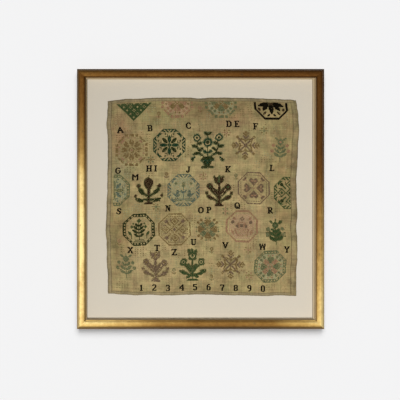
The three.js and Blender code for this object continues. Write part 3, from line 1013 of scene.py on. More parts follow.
BUNCH = [
    ("line", (0, -23, 0, 6, 1.2), 1),
    ("disc", (0, 12, 5.6, 2.4), 1),
    ("disc", (0, 12, 1.8, 9), 1),
    ("leaf", (3, 17, 6, 21, 3), 1),
    ("line", (0, 17, 0, 21, 1.4), 1),
    ("line", (0, -14, 10, -1, 1.2), 1),
    ("disc", (13, 3, 4.6, 2.0), 1),
    ("disc", (13, 3, 1.2, 9), 1),
    ("line", (0, -18, 12, -12, 1.2), 1),
    ("leaf", (9, -15, 19, -9, 4.2), 1),
    ("leaf", (1, -9, 7, 0, 3.4), 1),
    ("leaf", (2, -16, 8, -20, 3.2), 1),
    ("line", (0, -23, 6, -23, 1.6), 1),
]
BIRD = [
    "....xx.......",
    "...xxxx......",
    "ooxxoxx......",
    "...xxxx......",
    "....xxx....xx",
    "...xxxxx.xxx.",
    "..xxoxxxxxx..",
    "..xxooxxxx...",
    "..xxxooxx....",
    "...xxxxx.....",
    ".....x.x.....",
    ".....x.x.....",
    "....oo.oo....",
]
BUD = [
    "..xxx..",
    ".xx.xx.",
    ".x.o.x.",
    ".xx.xx.",
    "..xxx..",
    "...x...",
    "oo.x.oo",
    ".ooxoo.",
    "...x...",
]
CROSSLET = [
    ("diamond", (0, 0, 2, 1.2), 1),
    ("line", (2, 0, 6, 0, 1), 1),
    ("disc", (3, 3, 1, 9), 2),
]


def bird_pair():
    """Two birds that face each other across a small stem of leaves."""
    stem = drawn(17, 15, "side", [
        ("line", (0, -13, 0, 4, 1), 1),
        ("leaf", (0, 4, 0, 12, 5), 2),
        ("leaf", (1, -4, 4, 0, 2.6), 1),
        ("line", (0, -13, 14, -13, 1), 1),
        ("line", (2, -15, 12, -15, 1), 2),
        ("diamond", (11, 10, 2, 9), 2),
    ])
    bird = written(BIRD)
    high, wide = bird.shape
    for place in (bird[:, ::-1], bird):
        left = 1 if place is not bird else stem.shape[1] - 1 - wide
        spot = stem[3:3 + high, left:left + wide]
        spot[place > 0] = place[place > 0]
    return stem


def basket():
    """A latticed basket with a looped handle and three flowers."""
    chart = drawn(17, 16, "side", [
        ("disc", (0, -4, 10, 1.4), 1),
        ("line", (0, -7, 11, -7, 15), 0),
        ("line", (0, -4, 10, -4, 1.2), 1),
        ("line", (0, -14, 7, -14, 1.2), 1),
        ("line", (10, -4, 7, -14, 1.2), 1),
        ("disc", (0, 1, 2.6, 9), 2),
        ("disc", (6, 0, 2, 9), 2),
        ("leaf", (3, -2, 4, 4, 2.2), 1),
        ("diamond", (0, 11, 3, 1.3), 2),
        ("disc", (13, 6, 2, 9), 2),
        ("leaf", (12, -12, 15, -5, 2.6), 1),
        ("leaf", (10, 10, 13, 13, 2.4), 1),
    ])
    x, y = grid(17, 16)
    weave = (abs(x) < 8) & (y < -4) & (y > -14) & ((x + y) % 3 == 0)
    chart[weave] = 1
    return chart


def hearts():
    """Four hearts with their points to a small centre cross."""
    x, y = FOLDS["all"](*grid(18, 18))
    lobe = np.hypot(x - 11, y - 3) <= 3.4
    point = (x >= 3) & (x <= 12) & (y <= (x - 3) * 0.75)
    chart = np.where(lobe | point, 1, 0)
    chart[(np.hypot(x - 10.5, y - 2.0) <= 1.4)] = 2
    chart[(x <= 1) & (y == 0)] = 2
    chart[(x == y) & (x > 4) & (x < 14)] = 2
    chart[np.hypot(x - 14, y - 12) < 1.6] = 1
    return chart


def lattice():
    """Lozenges in five rows that narrow downwards from five to one. A lozenge is the stitches within
    five steps of its centre. By turns its middle is left bare, or a ring round its middle stitch."""
    x, y = np.meshgrid(np.arange(-26, 27), np.arange(-25, 1))
    chart = np.zeros(x.shape, int)
    for row in range(5):
        reach = 20 - 5 * row
        for number, centre in enumerate(range(-reach, reach + 1, 10)):
            steps = abs(x - centre) + abs(y + 5 * row)
            bare = steps == 2 if number % 2 else steps <= 1
            chart[(steps <= 5) & ~bare] = 1
    return chart


def fan(radius):
    """The lower half of an octagon, filled with leaves that fan out from the middle of its straight side."""
    rows = [
        ("leaf", (0, 0, 0, 15, 6), 1),
        ("leaf", (3, 0, 12, 11, 5), 1),
        ("leaf", (4, 0, 18, 5, 4.6), 1),
        ("disc", (0, 0, 3, 9), 2),
        ("leaf", (8, 13, 12, 17, 2.6), 2),
        ("line", (3, 17, 6, 20, 1), 1),
        ("disc", (18, 10, 2, 9), 2),
    ]
    return half(medallion(radius, drawn(radius, radius, "four", rows), "plain"), "bottom")


LETTERS = {
    "A": "....x..../...xxx.../...xxx.../..xx.xx../..xx.xx../.xxxxxxx./.xx...xx./xx.....xx/xxx...xxx",
    "B": "xxxxxx./.xx..xx/.xx..xx/.xx..xx/.xxxxx./.xx..xx/.xx..xx/.xx..xx/xxxxxx.",
    "C": "..xxxx./.xx..xx/xx....x/xx...../xx...../xx...../xx....x/.xx..xx/..xxxx.",
    "D": "xxxxxx../.xx..xx./.xx...xx/.xx...xx/.xx...xx/.xx...xx/.xx...xx/.xx..xx./xxxxxx..",
    "E": "xxxxxxx/.xx...x/.xx..../.xx.x../.xxxx../.xx.x../.xx..../.xx...x/xxxxxxx",
    "F": "xxxxxxx/.xx...x/.xx..../.xx.x../.xxxx../.xx.x../.xx..../.xx..../xxxx...",
    "G": "..xxxx../.xx..xx./xx....../xx....../xx..xxxx/xx....xx/xx....xx/.xx..xx./..xxxx..",
    "H": "xxxx.xxxx/.xx...xx./.xx...xx./.xx...xx./.xxxxxxx./.xx...xx./.xx...xx./.xx...xx./xxxx.xxxx",
    "I": "xxxx/.xx./.xx./.xx./.xx./.xx./.xx./.xx./xxxx",
    "J": "..xxxx/...xx./...xx./...xx./...xx./...xx./xx.xx./xx.xx./.xxx..",
    "K": "xxxx.xxx/.xx..xx./.xx.xx../.xxxx.../.xxx..../.xxxx.../.xx.xx../.xx..xx./xxxx.xxx",
    "L": "xxxx.../.xx..../.xx..../.xx..../.xx..../.xx..../.xx..../.xx...x/xxxxxxx",
    "M": "xx.....xx/xxx...xxx/xxxx.xxxx/xx.xxx.xx/xx..x..xx/xx.....xx/xx.....xx/xx.....xx/xxx...xxx",
    "N": "xxx..xxx/.xxx..x./.xxxx.x./.x.xx.x./.x.xxxx./.x..xxx./.x..xxx./.x...xx./xxx...x.",
    "O": "..xxxx../.xx..xx./xx....xx/xx....xx/xx....xx/xx....xx/xx....xx/.xx..xx./..xxxx..",
    "P": "xxxxxx./.xx..xx/.xx..xx/.xx..xx/.xxxxx./.xx..../.xx..../.xx..../xxxx...",
    "Q": "..xxxx../.xx..xx./xx....xx/xx....xx/xx....xx/xx.x..xx/xx.xx.xx/.xx.xxx./..xxxxxx",
    "R": "xxxxxx../.xx..xx./.xx..xx./.xx..xx./.xxxxx../.xxxx.../.xx.xx../.xx..xx./xxxx..xx",
    "S": "..xxxx./.xx..xx/.xx...x/.xxx.../..xxxx./....xxx/x....xx/xx..xx./.xxxx..",
    "T": "xxxxxxxx/x..xx..x/...xx.../...xx.../...xx.../...xx.../...xx.../...xx.../..xxxx..",
    "U": "xxxx.xxx/.xx...x./.xx...x./.xx...x./.xx...x./.xx...x./.xx...x./.xxx.xx./..xxxx..",
    "V": "xxx...xxx/.xx...xx./.xx...xx./..xx.xx../..xx.xx../..xx.xx../...xxx.../...xxx.../....x....",
    "W": "xx..x..xx/xx..x..xx/xx.xxx.xx/xx.x.x.xx/.xxx.xxx./.xxx.xxx./.xx...xx./.xx...xx./.xx...xx.",
    "X": "xxx..xxx/.xx..xx./..xxxx../...xx.../...xx.../..xxxx../.xx..xx./.xx..xx./xxx..xxx",
    "Y": "xxx..xxx/.xx..xx./.xx..xx./..xxxx../...xx.../...xx.../...xx.../...xx.../..xxxx..",
    "Z": "xxxxxxxx/x....xx./....xx../....xx../...xx.../..xx..../..xx..../.xx....x/xxxxxxxx",
    "0": ".xxxx./xx..xx/xx..xx/xx..xx/xx..xx/xx..xx/xx..xx/xx..xx/.xxxx.",
    "1": "..xx./.xxx./..xx./..xx./..xx./..xx./..xx./..xx./.xxxx",
    "2": ".xxxx./xx..xx/....xx/....xx/...xx./..xx../.xx.../xx...x/xxxxxx",
    "3": ".xxxx./xx..xx/....xx/....xx/..xxx./....xx/....xx/xx..xx/.xxxx.",
    "4": "....xx./...xxx./..xxxx./.xx.xx./xx..xx./xxxxxxx/....xx./....xx./...xxxx",
    "5": "xxxxxx/xx..../xx..../xxxxx./....xx/....xx/....xx/xx..xx/.xxxx.",
    "6": "..xxx./.xx.../xx..../xxxxx./xx..xx/xx..xx/xx..xx/xx..xx/.xxxx.",
    "7": "xxxxxx/x...xx/....xx/...xx./...xx./..xx../..xx../..xx../..xx..",
    "8": ".xxxx./xx..xx/xx..xx/xx..xx/.xxxx./xx..xx/xx..xx/xx..xx/.xxxx.",
    "9": ".xxxx./xx..xx/xx..xx/xx..xx/.xxxxx/....xx/....xx/...xx./.xxx..",
}

MOTIFS = {
    "star": lambda: medallion(23, drawn(18, 18, "all", STAR), "rope"),
    "rose": lambda: medallion(23, drawn(18, 18, "all", ROSE), "ladder"),
    "sun": lambda: medallion(23, drawn(19, 19, "all", SUN), "dashed"),
    "knot": lambda: medallion(23, drawn(19, 19, "all", KNOT), "double"),
    "tree": lambda: medallion(23, drawn(19, 19, "side", TREE), "ladder"),
    "birds": lambda: medallion(23, bird_pair(), "rope"),
    "basket": lambda: medallion(23, basket(), "plain"),
    "hearts": lambda: medallion(23, hearts(), "double"),
    "frost": lambda: drawn(22, 22, "all", FROST),
    "bare_rose": lambda: drawn(18, 18, "all", ROSE),
    "tulips": lambda: fringed(drawn(20, 23, "side", TULIPS), 91),
    "acorns": lambda: fringed(drawn(21, 21, "side", ACORNS), 92),
    "vase": lambda: fringed(drawn(25, 27, "side", VASE), 93),
    "sprig": lambda: fringed(drawn(14, 19, "side", SPRIG), 94),
    "bunch": lambda: fringed(drawn(20, 24, "side", BUNCH), 95),
    "lattice": lattice,
    "fan": lambda: fan(24),
    "crosslet": lambda: drawn(6, 6, "all", CROSSLET),
    "bud": lambda: written(BUD),
    "half_rose": lambda: half(medallion(23, drawn(18, 18, "all", ROSE), "dashed"), "bottom"),
    "half_star_left": lambda: half(medallion(23, drawn(18, 18, "all", STAR), "ladder"), "right"),
    "half_knot_right": lambda: half(medallion(23, drawn(19, 19, "all", KNOT), "rope"), "left"),
}

# Each motif's name, the threads that its chart's numbers stand for, and its middle's column and row
LAYOUT = [
    ("lattice", ("leaf_green",), 38, 268),
    ("half_rose", ("rose", "fawn", "blush"), 101, 270),
    ("half_rose", ("sage", "fawn", "mist"), 165, 270),
    ("fan", ("ink", "brown"), 238, 269),
    ("sun", ("fawn", "rose", "straw"), 34, 212),
    ("star", ("teal", "dark_green"), 89, 218),
    ("vase", ("dark_green", "teal", "sage"), 145, 211),
    ("frost", ("fawn", "mauve"), 200, 218),
    ("sprig", ("sage", "rose"), 251, 214),
    ("half_star_left", ("sage", "blue_grey", "mist"), 21, 153),
    ("acorns", ("brown", "dark_green", "moss"), 60, 153),
    ("birds", ("blue_grey", "sage", "mist"), 111, 152),
    ("tulips", ("brown", "leaf_green", "moss"), 163, 152),
    ("hearts", ("mauve", "rose"), 214, 156),
    ("half_knot_right", ("leaf_green", "dark_green"), 256, 150),
    ("tree", ("dark_green", "leaf_green"), 47, 95),
    ("knot", ("fawn", "mauve", "straw"), 99, 95),
    ("bare_rose", ("fawn", "sage"), 147, 95),
    ("basket", ("rose", "mauve", "blush"), 197, 100),
    ("sprig", ("leaf_green", "sage", "moss"), 246, 92),
    ("sprig", ("sage", "sage"), 27, 42),
    ("tulips", ("mauve", "fawn", "dun"), 70, 42),
    ("bunch", ("leaf_green", "dark_green", "moss"), 124, 44),
    ("frost", ("fawn", "mauve"), 180, 44),
    ("rose", ("sage", "rose", "mist"), 238, 42),
    ("bud", ("rose", "fawn"), 134, 271),
    ("bud", ("fawn", "rose"), 74, 262),
    ("crosslet", ("fawn", "sage"), 62, 197),
    ("crosslet", ("rose", "fawn"), 172, 236),
    ("crosslet", ("sage", "fawn"), 226, 240),
    ("crosslet", ("fawn", "rose"), 140, 172),
    ("bud", ("sage", "fawn"), 188, 172),
    ("bud", ("fawn", "mauve"), 86, 174),
    ("crosslet", ("rose", "sage"), 172, 122),
    ("bud", ("rose", "fawn"), 18, 76),
    ("crosslet", ("sage", "fawn"), 71, 128),
    ("bud", ("fawn", "sage"), 152, 64),
    ("bud", ("sage", "fawn"), 97, 34),
    ("crosslet", ("fawn", "rose"), 207, 29),
    ("crosslet", ("rose", "fawn"), 205, 66),
    ("bud", ("fawn", "sage"), 152, 24),
]
# Each letter and numeral, and its middle's column and row
LETTER_ROWS = [
    ("A", 18, 242), ("B", 61, 243), ("C", 117, 246), ("D", 176, 249), ("E", 187, 249), ("F", 214, 246),
    ("G", 15, 182), ("H", 60, 184), ("I", 70, 184), ("J", 118, 182), ("K", 176, 183), ("L", 240, 186),
    ("M", 40, 172), ("N", 89, 126), ("O", 137, 123), ("P", 148, 123), ("Q", 190, 130), ("R", 238, 124),
    ("S", 17, 122), ("T", 73, 68), ("U", 126, 76), ("V", 172, 72), ("W", 226, 71), ("X", 34, 65),
    ("Y", 262, 67), ("Z", 98, 62),
]
NUMERALS = [(digit, 48 + 20 * i, 10) for i, digit in enumerate("1234567890")]


# Materials

class Wire:
    """An output socket with its tree. Arithmetic on it adds a Math node and gives that node's wire."""

    def __init__(self, tree, socket):
        self.tree = tree
        self.socket = socket

    def __add__(self, other):
        return calc(self.tree, "ADD", self, other)

    def __sub__(self, other):
        return calc(self.tree, "SUBTRACT", self, other)

    def __rsub__(self, other):
        return calc(self.tree, "SUBTRACT", other, self)

    def __mul__(self, other):
        return calc(self.tree, "MULTIPLY", self, other)

    def __truediv__(self, other):
        return calc(self.tree, "DIVIDE", self, other)


def feed(tree, socket, value):
    """Feeds an input socket, by a link from a wire or else with a number, a colour or a vector."""
    if isinstance(value, Wire):
        tree.links.new(value.socket, socket)
    else:
        socket.default_value = value


def new_node(tree, kind, inputs, **settings):
    """A new node, with its own properties set and its inputs fed."""
    made = tree.nodes.new("ShaderNode" + kind)
    for name, value in settings.items():
        setattr(made, name, value)
    for key, value in inputs.items():
        feed(tree, made.inputs[key], value)
    return made


def node(tree, kind, inputs, output=0, **settings):
    """The wire out of a new node, from the output of this number or name."""
    return Wire(tree, new_node(tree, kind, inputs, **settings).outputs[output])


def wires(tree, sockets):
    """Sockets as wires by name."""
    return {socket.name: Wire(tree, socket) for socket in sockets}


def calc(tree, operation, *values, clamp=False):
    """The wire out of a Math node."""
    return node(tree, "Math", dict(enumerate(values)), operation=operation, use_clamp=clamp)


def mixed(tree, share, first, second, blend="MIX"):
    """Two colours mixed by a share from 0 to 1."""
    return node(tree, "Mix", {0: share, 6: first, 7: second}, 2, data_type="RGBA", blend_type=blend)


def ramp(tree, value, stops):
    """A colour or a grey read from stops of place and value."""
    made = new_node(tree, "ValToRGB", {"Fac": value})
    elements = made.color_ramp.elements
    while len(elements) < len(stops):
        elements.new(0.5)
    for element, (place, colour) in zip(elements, stops):
        element.position = place
        element.color = colour if isinstance(colour, tuple) else (colour, colour, colour, 1)
    return Wire(tree, made.outputs["Color"])


def noise(tree, vector, scale, detail=4.0, roughness=0.55):
    inputs = {"Vector": vector, "Scale": scale, "Detail": detail, "Roughness": roughness}
    return node(tree, "TexNoise", inputs)


def stretched(tree, vector, scale, place=(0, 0, 0)):
    """A vector scaled by its own amount along each axis."""
    return node(tree, "Mapping", {"Vector": vector, "Scale": scale, "Location": place})


def split(tree, vector):
    """The wires of a vector's X, Y and Z."""
    return wires(tree, new_node(tree, "SeparateXYZ", {0: vector}).outputs).values()


def value_of(tree, name):
    """The number that a mesh's points hold under this name."""
    return node(tree, "Attribute", {}, "Fac", attribute_name=name)


def colour_of(tree, name):
    """The colour that a mesh's points hold under this name."""
    return node(tree, "Attribute", {}, "Color", attribute_name=name)


def object_place(tree):
    return node(tree, "TexCoord", {}, "Object")


def uv_place(tree):
    return node(tree, "UVMap", {}, uv_map="UVMap")


def bumped(tree, height, strength, distance):
    return node(tree, "Bump", {"Height": height, "Strength": strength, "Distance": distance})


def new_material(name):
    """A material with an empty node tree, and that tree."""
    material = bpy.data.materials.new(name)
    material.use_nodes = True
    material.node_tree.nodes.clear()
    return material, material.node_tree


def finish(tree, inputs):
    """Ends a material's tree with one Principled shader."""
    new_node(tree, "OutputMaterial", {"Surface": node(tree, "BsdfPrincipled", inputs)})


def new_group(name, inputs, outputs):
    """An empty shader node group, and the wires into it by name."""
    tree = bpy.data.node_groups.new(name, "ShaderNodeTree")
    for label, kind in inputs:
        tree.interface.new_socket(label, in_out="INPUT", socket_type="NodeSocket" + kind)
    for label in outputs:
        tree.interface.new_socket(label, in_out="OUTPUT", socket_type="NodeSocketFloat")
    return tree, wires(tree, tree.nodes.new("NodeGroupInput").outputs)


def put_out(tree, results):
    """Ends a node group's tree with its results by name."""
    ends = tree.nodes.new("NodeGroupOutput").inputs
    for label, wire in results.items():
        feed(tree, ends[label], wire)


def grouped(tree, group, inputs):
    """The wires out of a node group by name."""
    return wires(tree, new_node(tree, "Group", inputs, node_tree=group).outputs)


def mottle_group():
    """Soft blotches with finer ones inside them, as a factor about one: age marks of any finish."""
    inputs = (("Vector", "Vector"), ("Scale", "Float"), ("Amount", "Float"))
    tree, given = new_group("age_mottle", inputs, ("Factor", "Mask"))
    broad = noise(tree, given["Vector"], given["Scale"], 3.0)
    fine = noise(tree, given["Vector"], given["Scale"] * 6.3, 5.0, 0.65)
    mask = broad * 0.65 + fine * 0.35
    put_out(tree, {"Factor": (mask - 0.5) * (given["Amount"] * 2.0) + 1.0, "Mask": mask})
    return tree


def paper_group():
    """Pressed paper: a fine grain with stray fibres, as a shade about one and a height."""
    inputs = (("Vector", "Vector"), ("Grain", "Float"), ("Fibres", "Float"))
    tree, given = new_group("pressed_paper", inputs, ("Shade", "Height"))
    grain = noise(tree, given["Vector"], given["Grain"], 6.0, 0.7)
    drift = noise(tree, given["Vector"], 60.0, 2.0)
    drifts = node(tree, "CombineXYZ", {"X": drift, "Y": drift, "Z": drift})
    bent = node(tree, "VectorMath", {0: given["Vector"], 1: drifts}, operation="ADD")
    fibre = noise(tree, stretched(tree, bent, (90, 90, 700)), 1.0, 2.0)
    strand = ramp(tree, fibre, ((0.0, 0.0), (0.62, 0.0), (0.68, 1.0))) * given["Fibres"]
    put_out(tree, {"Shade": grain * 0.08 + 0.96 - strand * 0.05, "Height": grain + strand})
    return tree


def shaded(tree, colour, factor):
    """A colour times a grey factor."""
    grey = node(tree, "CombineColor", {0: factor, 1: factor, 2: factor})
    return mixed(tree, 1.0, colour, grey, "MULTIPLY")


def gilt_material(mottle):
    """Gold leaf over a brown ground. Across the rail the leaf lies between two edges of its own, placed per
    rail partly as painted shade on the outer edge and the quirk; the lip is a paler or darker band of
    painted light and shade, and the flank is stained. Along it a painted highlight, standing in for the
    lamps' reflections and mottled by soft age marks, makes the gold and the ground brighter or darker; leaf
    laps and rubbed spots let the ground through, and fine scratches follow the rail."""
    material, tree = new_material("worn_gilt")
    uv = uv_place(tree)
    along, across, _ = split(tree, uv)

    def past(edge):
        beyond = across - value_of(tree, edge)
        return calc(tree, "MULTIPLY_ADD", beyond, LEAF_EDGE_SHARPNESS, 0.5, clamp=True)

    # The leaf's edges are set per rail, partly to paint shade on the outer edge and the quirk
    leaf = (past("leaf_start") - past("leaf_end")) * 0.9 + 0.1
    # Painted highlight: the gold is painted brighter where the lamps' reflections would fall
    painted_glow = value_of(tree, "painted_highlight")
    blotch = grouped(tree, mottle, {"Vector": object_place(tree), "Scale": 26.0, "Amount": 0.8})
    streak = noise(tree, stretched(tree, uv, (9, 0.8, 1)), 9.0, 6.0, 0.7)
    worn_painted_glow = calc(tree, "ADD", painted_glow * blotch["Factor"], (streak - 0.5) * 0.32, clamp=True)
    gold = ramp(tree, worn_painted_glow, (
        (0.0, linear(78, 46, 12)), (0.14, linear(106, 68, 25)), (0.36, linear(150, 112, 54)),
        (0.66, linear(204, 168, 97)), (1.0, linear(248, 222, 150)),
    ))
    lap_share = calc(tree, "FRACT", along * LEAVES_PER_RAIL)
    lap = ramp(tree, lap_share, ((0.0, 1.0), (0.006, 0.0), (0.994, 0.0), (1.0, 1.0)))
    scratch = noise(tree, stretched(tree, uv, (2.5, 26, 1)), 14.0, 4.0, 0.6)
    rubbed = ramp(tree, scratch, ((0.0, 0.0), (0.60, 0.0), (0.72, 1.0)))
    kept = leaf * (1.0 - (rubbed * 0.30 + lap * 0.22)) * (1.0 - value_of(tree, "speck") * 0.9)

    # The ground is painted paler where the painted highlight is high, and the lip gets painted light and
    # shade
    ground = mixed(tree, painted_glow, linear(46, 31, 12), linear(168, 136, 82))
    painted_lip_colour = mixed(tree, value_of(tree, "lip"), linear(74, 58, 30), linear(192, 170, 134))
    flank = ramp(tree, across, ((0.0, 1.0), (FLANK_EDGE, 0.0)))
    colour = mixed(tree, kept, ground, gold)
    colour = mixed(tree, past("lip_start"), colour, painted_lip_colour)
    colour = mixed(tree, flank, colour, linear(76, 56, 34))
    finish(tree, {
        "Base Color": colour, "Roughness": kept * -0.17 + 0.60 + streak * 0.10, "Metallic": kept * 0.7,
        "Specular IOR Level": 0.15, "Normal": bumped(tree, scratch * 0.5 + blotch["Mask"], 0.22, 0.3 * MM),
    })
    return material


def bare_wood_material(mottle):
    """Raw softwood in the rebate and behind: pale brown, with a grain drawn out along each rail."""
    material, tree = new_material("bare_wood")
    grain = noise(tree, stretched(tree, uv_place(tree), (3, 9, 1)), 12.0, 8.0, 0.7)
    age = grouped(tree, mottle, {"Vector": object_place(tree), "Scale": 14.0, "Amount": 0.35})
    colour = ramp(tree, grain, (
        (0.25, linear(112, 82, 52)), (0.5, linear(158, 124, 84)), (0.75, linear(180, 148, 106)),
    ))
    finish(tree, {
        "Base Color": shaded(tree, colour, age["Factor"]), "Roughness": 0.8,
        "Normal": bumped(tree, grain, 0.3, 0.3 * MM),
    })
    return material


def card_material(name, colour, mottle, paper, age_scale, age_amount, fibres, relief):
    """A card: its colour with soft age marks, a pressed grain and stray fibres."""
    material, tree = new_material(name)
    place = object_place(tree)
    age = grouped(tree, mottle, {"Vector": place, "Scale": age_scale, "Amount": age_amount})
    press = grouped(tree, paper, {"Vector": place, "Grain": 900.0, "Fibres": fibres})
    finish(tree, {
        "Base Color": shaded(tree, linear(*colour), age["Factor"] * press["Shade"]), "Roughness": 0.9,
        "Specular IOR Level": 0.25, "Normal": bumped(tree, press["Height"], relief, 0.1 * MM),
    })
    return material


def woven(tree, uv):
    """Plain weave as a height and the sum of its slubs: each thread is a cosine across its own run, over
    and under by turns, and slubs thicken it along."""
    x, y, _ = split(tree, uv)
    turns = 2 * math.pi / (STITCH / 2)

    def thread(position):
        return (calc(tree, "COSINE", position * turns) + 1.0) * 0.5

    def half_turn(position):
        return calc(tree, "SINE", position * (turns / 2))

    over = half_turn(x) * half_turn(y) * 0.5 + 0.5
    warp_slub = noise(tree, stretched(tree, uv, (430, 16, 1)), 1.0, 4.0, 0.7)
    weft_slub = noise(tree, stretched(tree, uv, (16, 430, 1), (3, 7, 0)), 1.0, 4.0, 0.7)
    warp = thread(x) * over * (warp_slub + 0.5)
    weft = thread(y) * (1.0 - over) * (weft_slub + 0.5)
    return warp + weft, warp_slub + weft_slub


def linen_material(mottle):
    """Stained linen, mottled and tinted by soft noise. Its hems are greyer, its seams dark, and its rim
    is darker towards the edge."""
    material, tree = new_material("old_linen")
    height, slubs = woven(tree, uv_place(tree))
    place = object_place(tree)
    age = grouped(tree, mottle, {"Vector": place, "Scale": 62.0, "Amount": 1.05})
    shade = (slubs * 0.95 + 0.05) * (height * 0.30 + 0.86) * age["Factor"]
    tint = ramp(tree, noise(tree, place, 70.0, 5.0, 0.7), (
        (0.38, linear(184, 140, 102)), (0.62, linear(148, 148, 94)),
    ))
    colour = mixed(tree, 0.19, colour_of(tree, "stain"), tint)
    for name, strength, over_colour in (
        ("hem", 0.6, (146, 132, 102)), ("rim", 0.55, (84, 72, 46)), ("seam", 0.8, (78, 60, 32)),
    ):
        colour = mixed(tree, value_of(tree, name) * strength, colour, linear(*over_colour))
    finish(tree, {
        "Base Color": shaded(tree, colour, shade), "Roughness": 0.92, "Specular IOR Level": 0.2,
        "Sheen Weight": 0.12, "Sheen Roughness": 0.5, "Normal": bumped(tree, height, 0.5, 0.25 * MM),
    })
    return material


def thread_finish(name, colour, worn_colour, mottle):
    """A stranded thread: three plies wind round it as slanted bands, and worn stitches are paler."""
    material, tree = new_material(name)
    along, around, _ = split(tree, uv_place(tree))
    ply = calc(tree, "SINE", (along * PLY_WINDINGS + around / LEG_SIDES) * (2 * math.pi * PLIES))
    age = grouped(tree, mottle, {"Vector": object_place(tree), "Scale": 48.0, "Amount": 0.3})
    faded = mixed(tree, value_of(tree, "fade") * 0.55, linear(*colour), linear(*worn_colour))
    shade = (ply * 0.10 + 0.92) * age["Factor"]
    finish(tree, {
        "Base Color": shaded(tree, faded, shade), "Roughness": 0.7, "Specular IOR Level": 0.04,
        "Normal": bumped(tree, ply, 0.3, 0.08 * MM),
    })
    return material


def thread_material(thread, colour, mottle):
    """One thread's finish, which fades part of the way to the linen's own colour."""
    reach = DARK_FADE_TO_LINEN if thread in DARK_THREADS else FADE_TO_LINEN
    worn = np.array(colour) + (np.array(LINEN) - colour) * reach
    return thread_finish("thread_" + thread, colour, worn, mottle)


def backdrop_material(name, colour):
    """A matte backdrop that lets shadow rays and the view from behind pass."""
    material, tree = new_material(name)
    matte = node(tree, "BsdfPrincipled", {
        "Base Color": colour, "Roughness": 1.0, "Specular IOR Level": 0.0,
    })
    behind = node(tree, "NewGeometry", {}, "Backfacing")
    passing = calc(tree, "MAXIMUM", behind, node(tree, "LightPath", {}, "Is Shadow Ray"))
    clear = node(tree, "BsdfTransparent", {})
    surface = node(tree, "MixShader", {0: passing, 1: matte, 2: clear})
    new_node(tree, "OutputMaterial", {"Surface": surface})
    return material


# Stage, lights and camera

def sheet_at(name, corners, material):
    """One flat stage quad through four corners."""
    mesh = bpy.data.meshes.new(name)
    mesh.from_pydata(corners, [], [(0, 1, 2, 3)])
    mesh.materials.append(material)
    piece = bpy.data.objects.new(name, mesh)
    bpy.context.scene.collection.objects.link(piece)
    return piece


def make_stage():
    """A pale wall just behind the frame's back, facing the viewer, and a pale floor well below."""
    reach, wall_y, floor_z = 3.0, 1.2 * MM, -1.25
    wall = sheet_at("wall", [
        (-reach, wall_y, -reach), (reach, wall_y, -reach), (reach, wall_y, reach), (-reach, wall_y, reach),
    ], backdrop_material("pale_wall", (0.90, 0.90, 0.905, 1)))
    floor = sheet_at("floor", [
        (-reach, -reach, floor_z), (reach, -reach, floor_z),
        (reach, reach, floor_z), (-reach, reach, floor_z),
    ], backdrop_material("pale_floor", (0.82, 0.82, 0.82, 1)))
    floor.visible_diffuse = False
    return wall, floor


def aimed(lamp, place, target):
    """A lamp or camera put at a place and turned to a target."""
    thing = bpy.data.objects.new(lamp.name, lamp)
    bpy.context.scene.collection.objects.link(thing)
    run = [b - a for a, b in zip(place, target)]
    thing.location = place
    thing.rotation_euler = Vector(run).to_track_quat("-Z", "Y").to_euler()
    return thing


def area_light(name, place, size, power, colour=(1, 1, 1)):
    """A rectangular lamp turned to the origin, hidden from the camera."""
    lamp = bpy.data.lights.new(name, "AREA")
    lamp.shape = "RECTANGLE"
    lamp.size, lamp.size_y = size
    lamp.energy = power
    lamp.color = colour
    thing = aimed(lamp, place, (0, 0, 0))
    thing.visible_camera = False
    return thing


def light_only(light, objects):
    """Keeps a light's own light to these objects."""
    receivers = bpy.data.collections.new(light.name + "_receivers")
    for piece in objects:
        receivers.objects.link(piece)
    light.light_linking.receiver_collection = receivers


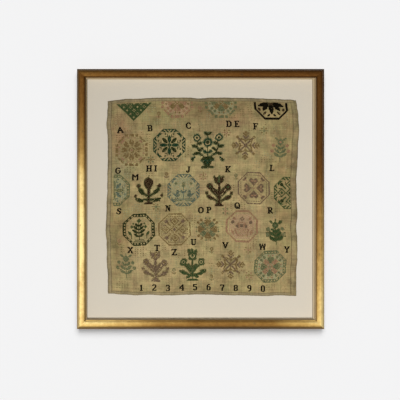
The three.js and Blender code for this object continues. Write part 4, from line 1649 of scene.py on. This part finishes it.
def make_lights(stage, rails, picture):
    """A front lamp low down for the picture, broad lamps for the gilt and one from above for the bottom
    rail, a straight and a high wide sun for the wall and the frame's soft shadow on it, and a lamp behind
    for the back."""
    warm = (1, 0.98, 0.95)
    for name, place, size, power, colour, lit in (
        ("front", (0.12, -1.5, -0.36), (0.3, 0.3), 20, (1, 1, 1), picture),
        ("broad", (-0.1, -2.3, -0.4), (2.8, 2.2), 30, (1, 1, 1), rails),
        ("low_left", (-1.3, -1.9, -0.75), (0.9, 1.0), 12, warm, rails),
        ("low_right", (1.4, -1.9, -0.95), (0.8, 0.8), 7, warm, rails),
        ("above_bottom_rail", (-0.3, -1.1, 1.3), (0.8, 0.5), 6, warm, rails[:1]),
    ):
        light_only(area_light(name, place, size, power, colour), lit)
    for name, place, energy, spread in (
        ("straight_wall", (0, -2, 0), 0.86, 4), ("high_wall", (0.08, -2, 0.96), 2.12, 38),
    ):
        lamp = bpy.data.lights.new(name, "SUN")
        lamp.energy = energy
        lamp.angle = math.radians(spread)
        light_only(aimed(lamp, place, (0, 0, 0)), stage)
    area_light("rear", (1.2, 2.6, 1.4), (1.8, 1.8), 90)
    world = bpy.data.worlds.new("studio")
    world.use_nodes = True
    tree = world.node_tree
    tree.nodes.clear()
    seen = node(tree, "LightPath", {}, "Is Camera Ray")
    strength = calc(tree, "MULTIPLY_ADD", seen, WORLD_SEEN - WORLD_LIGHT, WORLD_LIGHT)
    sky = node(tree, "Background", {"Color": (1, 1, 1, 1), "Strength": strength})
    new_node(tree, "OutputWorld", {"Surface": sky})
    bpy.context.scene.world = world
    bpy.context.scene.view_settings.view_transform = "Standard"


def make_camera():
    """Straight on, at a place that puts the frame's centre at its own pixel."""
    lens = bpy.data.cameras.new("camera")
    lens.sensor_width = SENSOR
    lens.lens = SENSOR * CAMERA_DISTANCE / (PHOTO_SIDE * PIXEL)
    lens.clip_start, lens.clip_end = 0.05, 50
    x = (PHOTO_SIDE / 2 - FRAME_CENTRE_PIXEL[0]) * PIXEL
    z = (FRAME_CENTRE_PIXEL[1] - PHOTO_SIDE / 2) * PIXEL
    y = -OUTLINE_DEPTH - CAMERA_DISTANCE
    bpy.context.scene.camera = aimed(lens, (x, y, z), (x, 0, z))


def dress(names, material):
    """Gives CAD nodes their finish."""
    for name in names:
        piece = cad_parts[name]
        piece.data.materials.clear()
        piece.data.materials.append(material)


make_camera()
mottle, paper = mottle_group(), paper_group()
dress(["mount_board"], card_material(
    "mount_card", (216, 207, 190), mottle, paper, age_scale=9.0, age_amount=0.03, fibres=0.2, relief=0.12,
))
# Each spacer card gets its own painted light or shade
for side, shaded_tone in SPACER_PAINTED_SHADES.items():
    dress(["spacer_" + side], card_material(
        "spacer_card_shaded_" + side, shaded_tone, mottle, paper, age_scale=40.0, age_amount=0.2, fibres=0.5, relief=0.3,
    ))
dress(["backing_board"], card_material(
    "backing_card", (150, 120, 86), mottle, paper, age_scale=16.0, age_amount=0.3, fibres=0.9, relief=0.3,
))
rails = make_rails(gilt_material(mottle), bare_wood_material(mottle))
hem_thread = thread_finish("hem_thread", (150, 138, 102), (112, 100, 70), mottle)
sampler = make_sampler(linen_material(mottle), hem_thread, mottle)
stage = make_stage()
board_names = ["mount_board", "backing_board", *("spacer_" + side for side in SPACER_PAINTED_SHADES)]
boards = [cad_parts[name] for name in board_names]
make_lights(stage, rails, [*sampler, *boards])
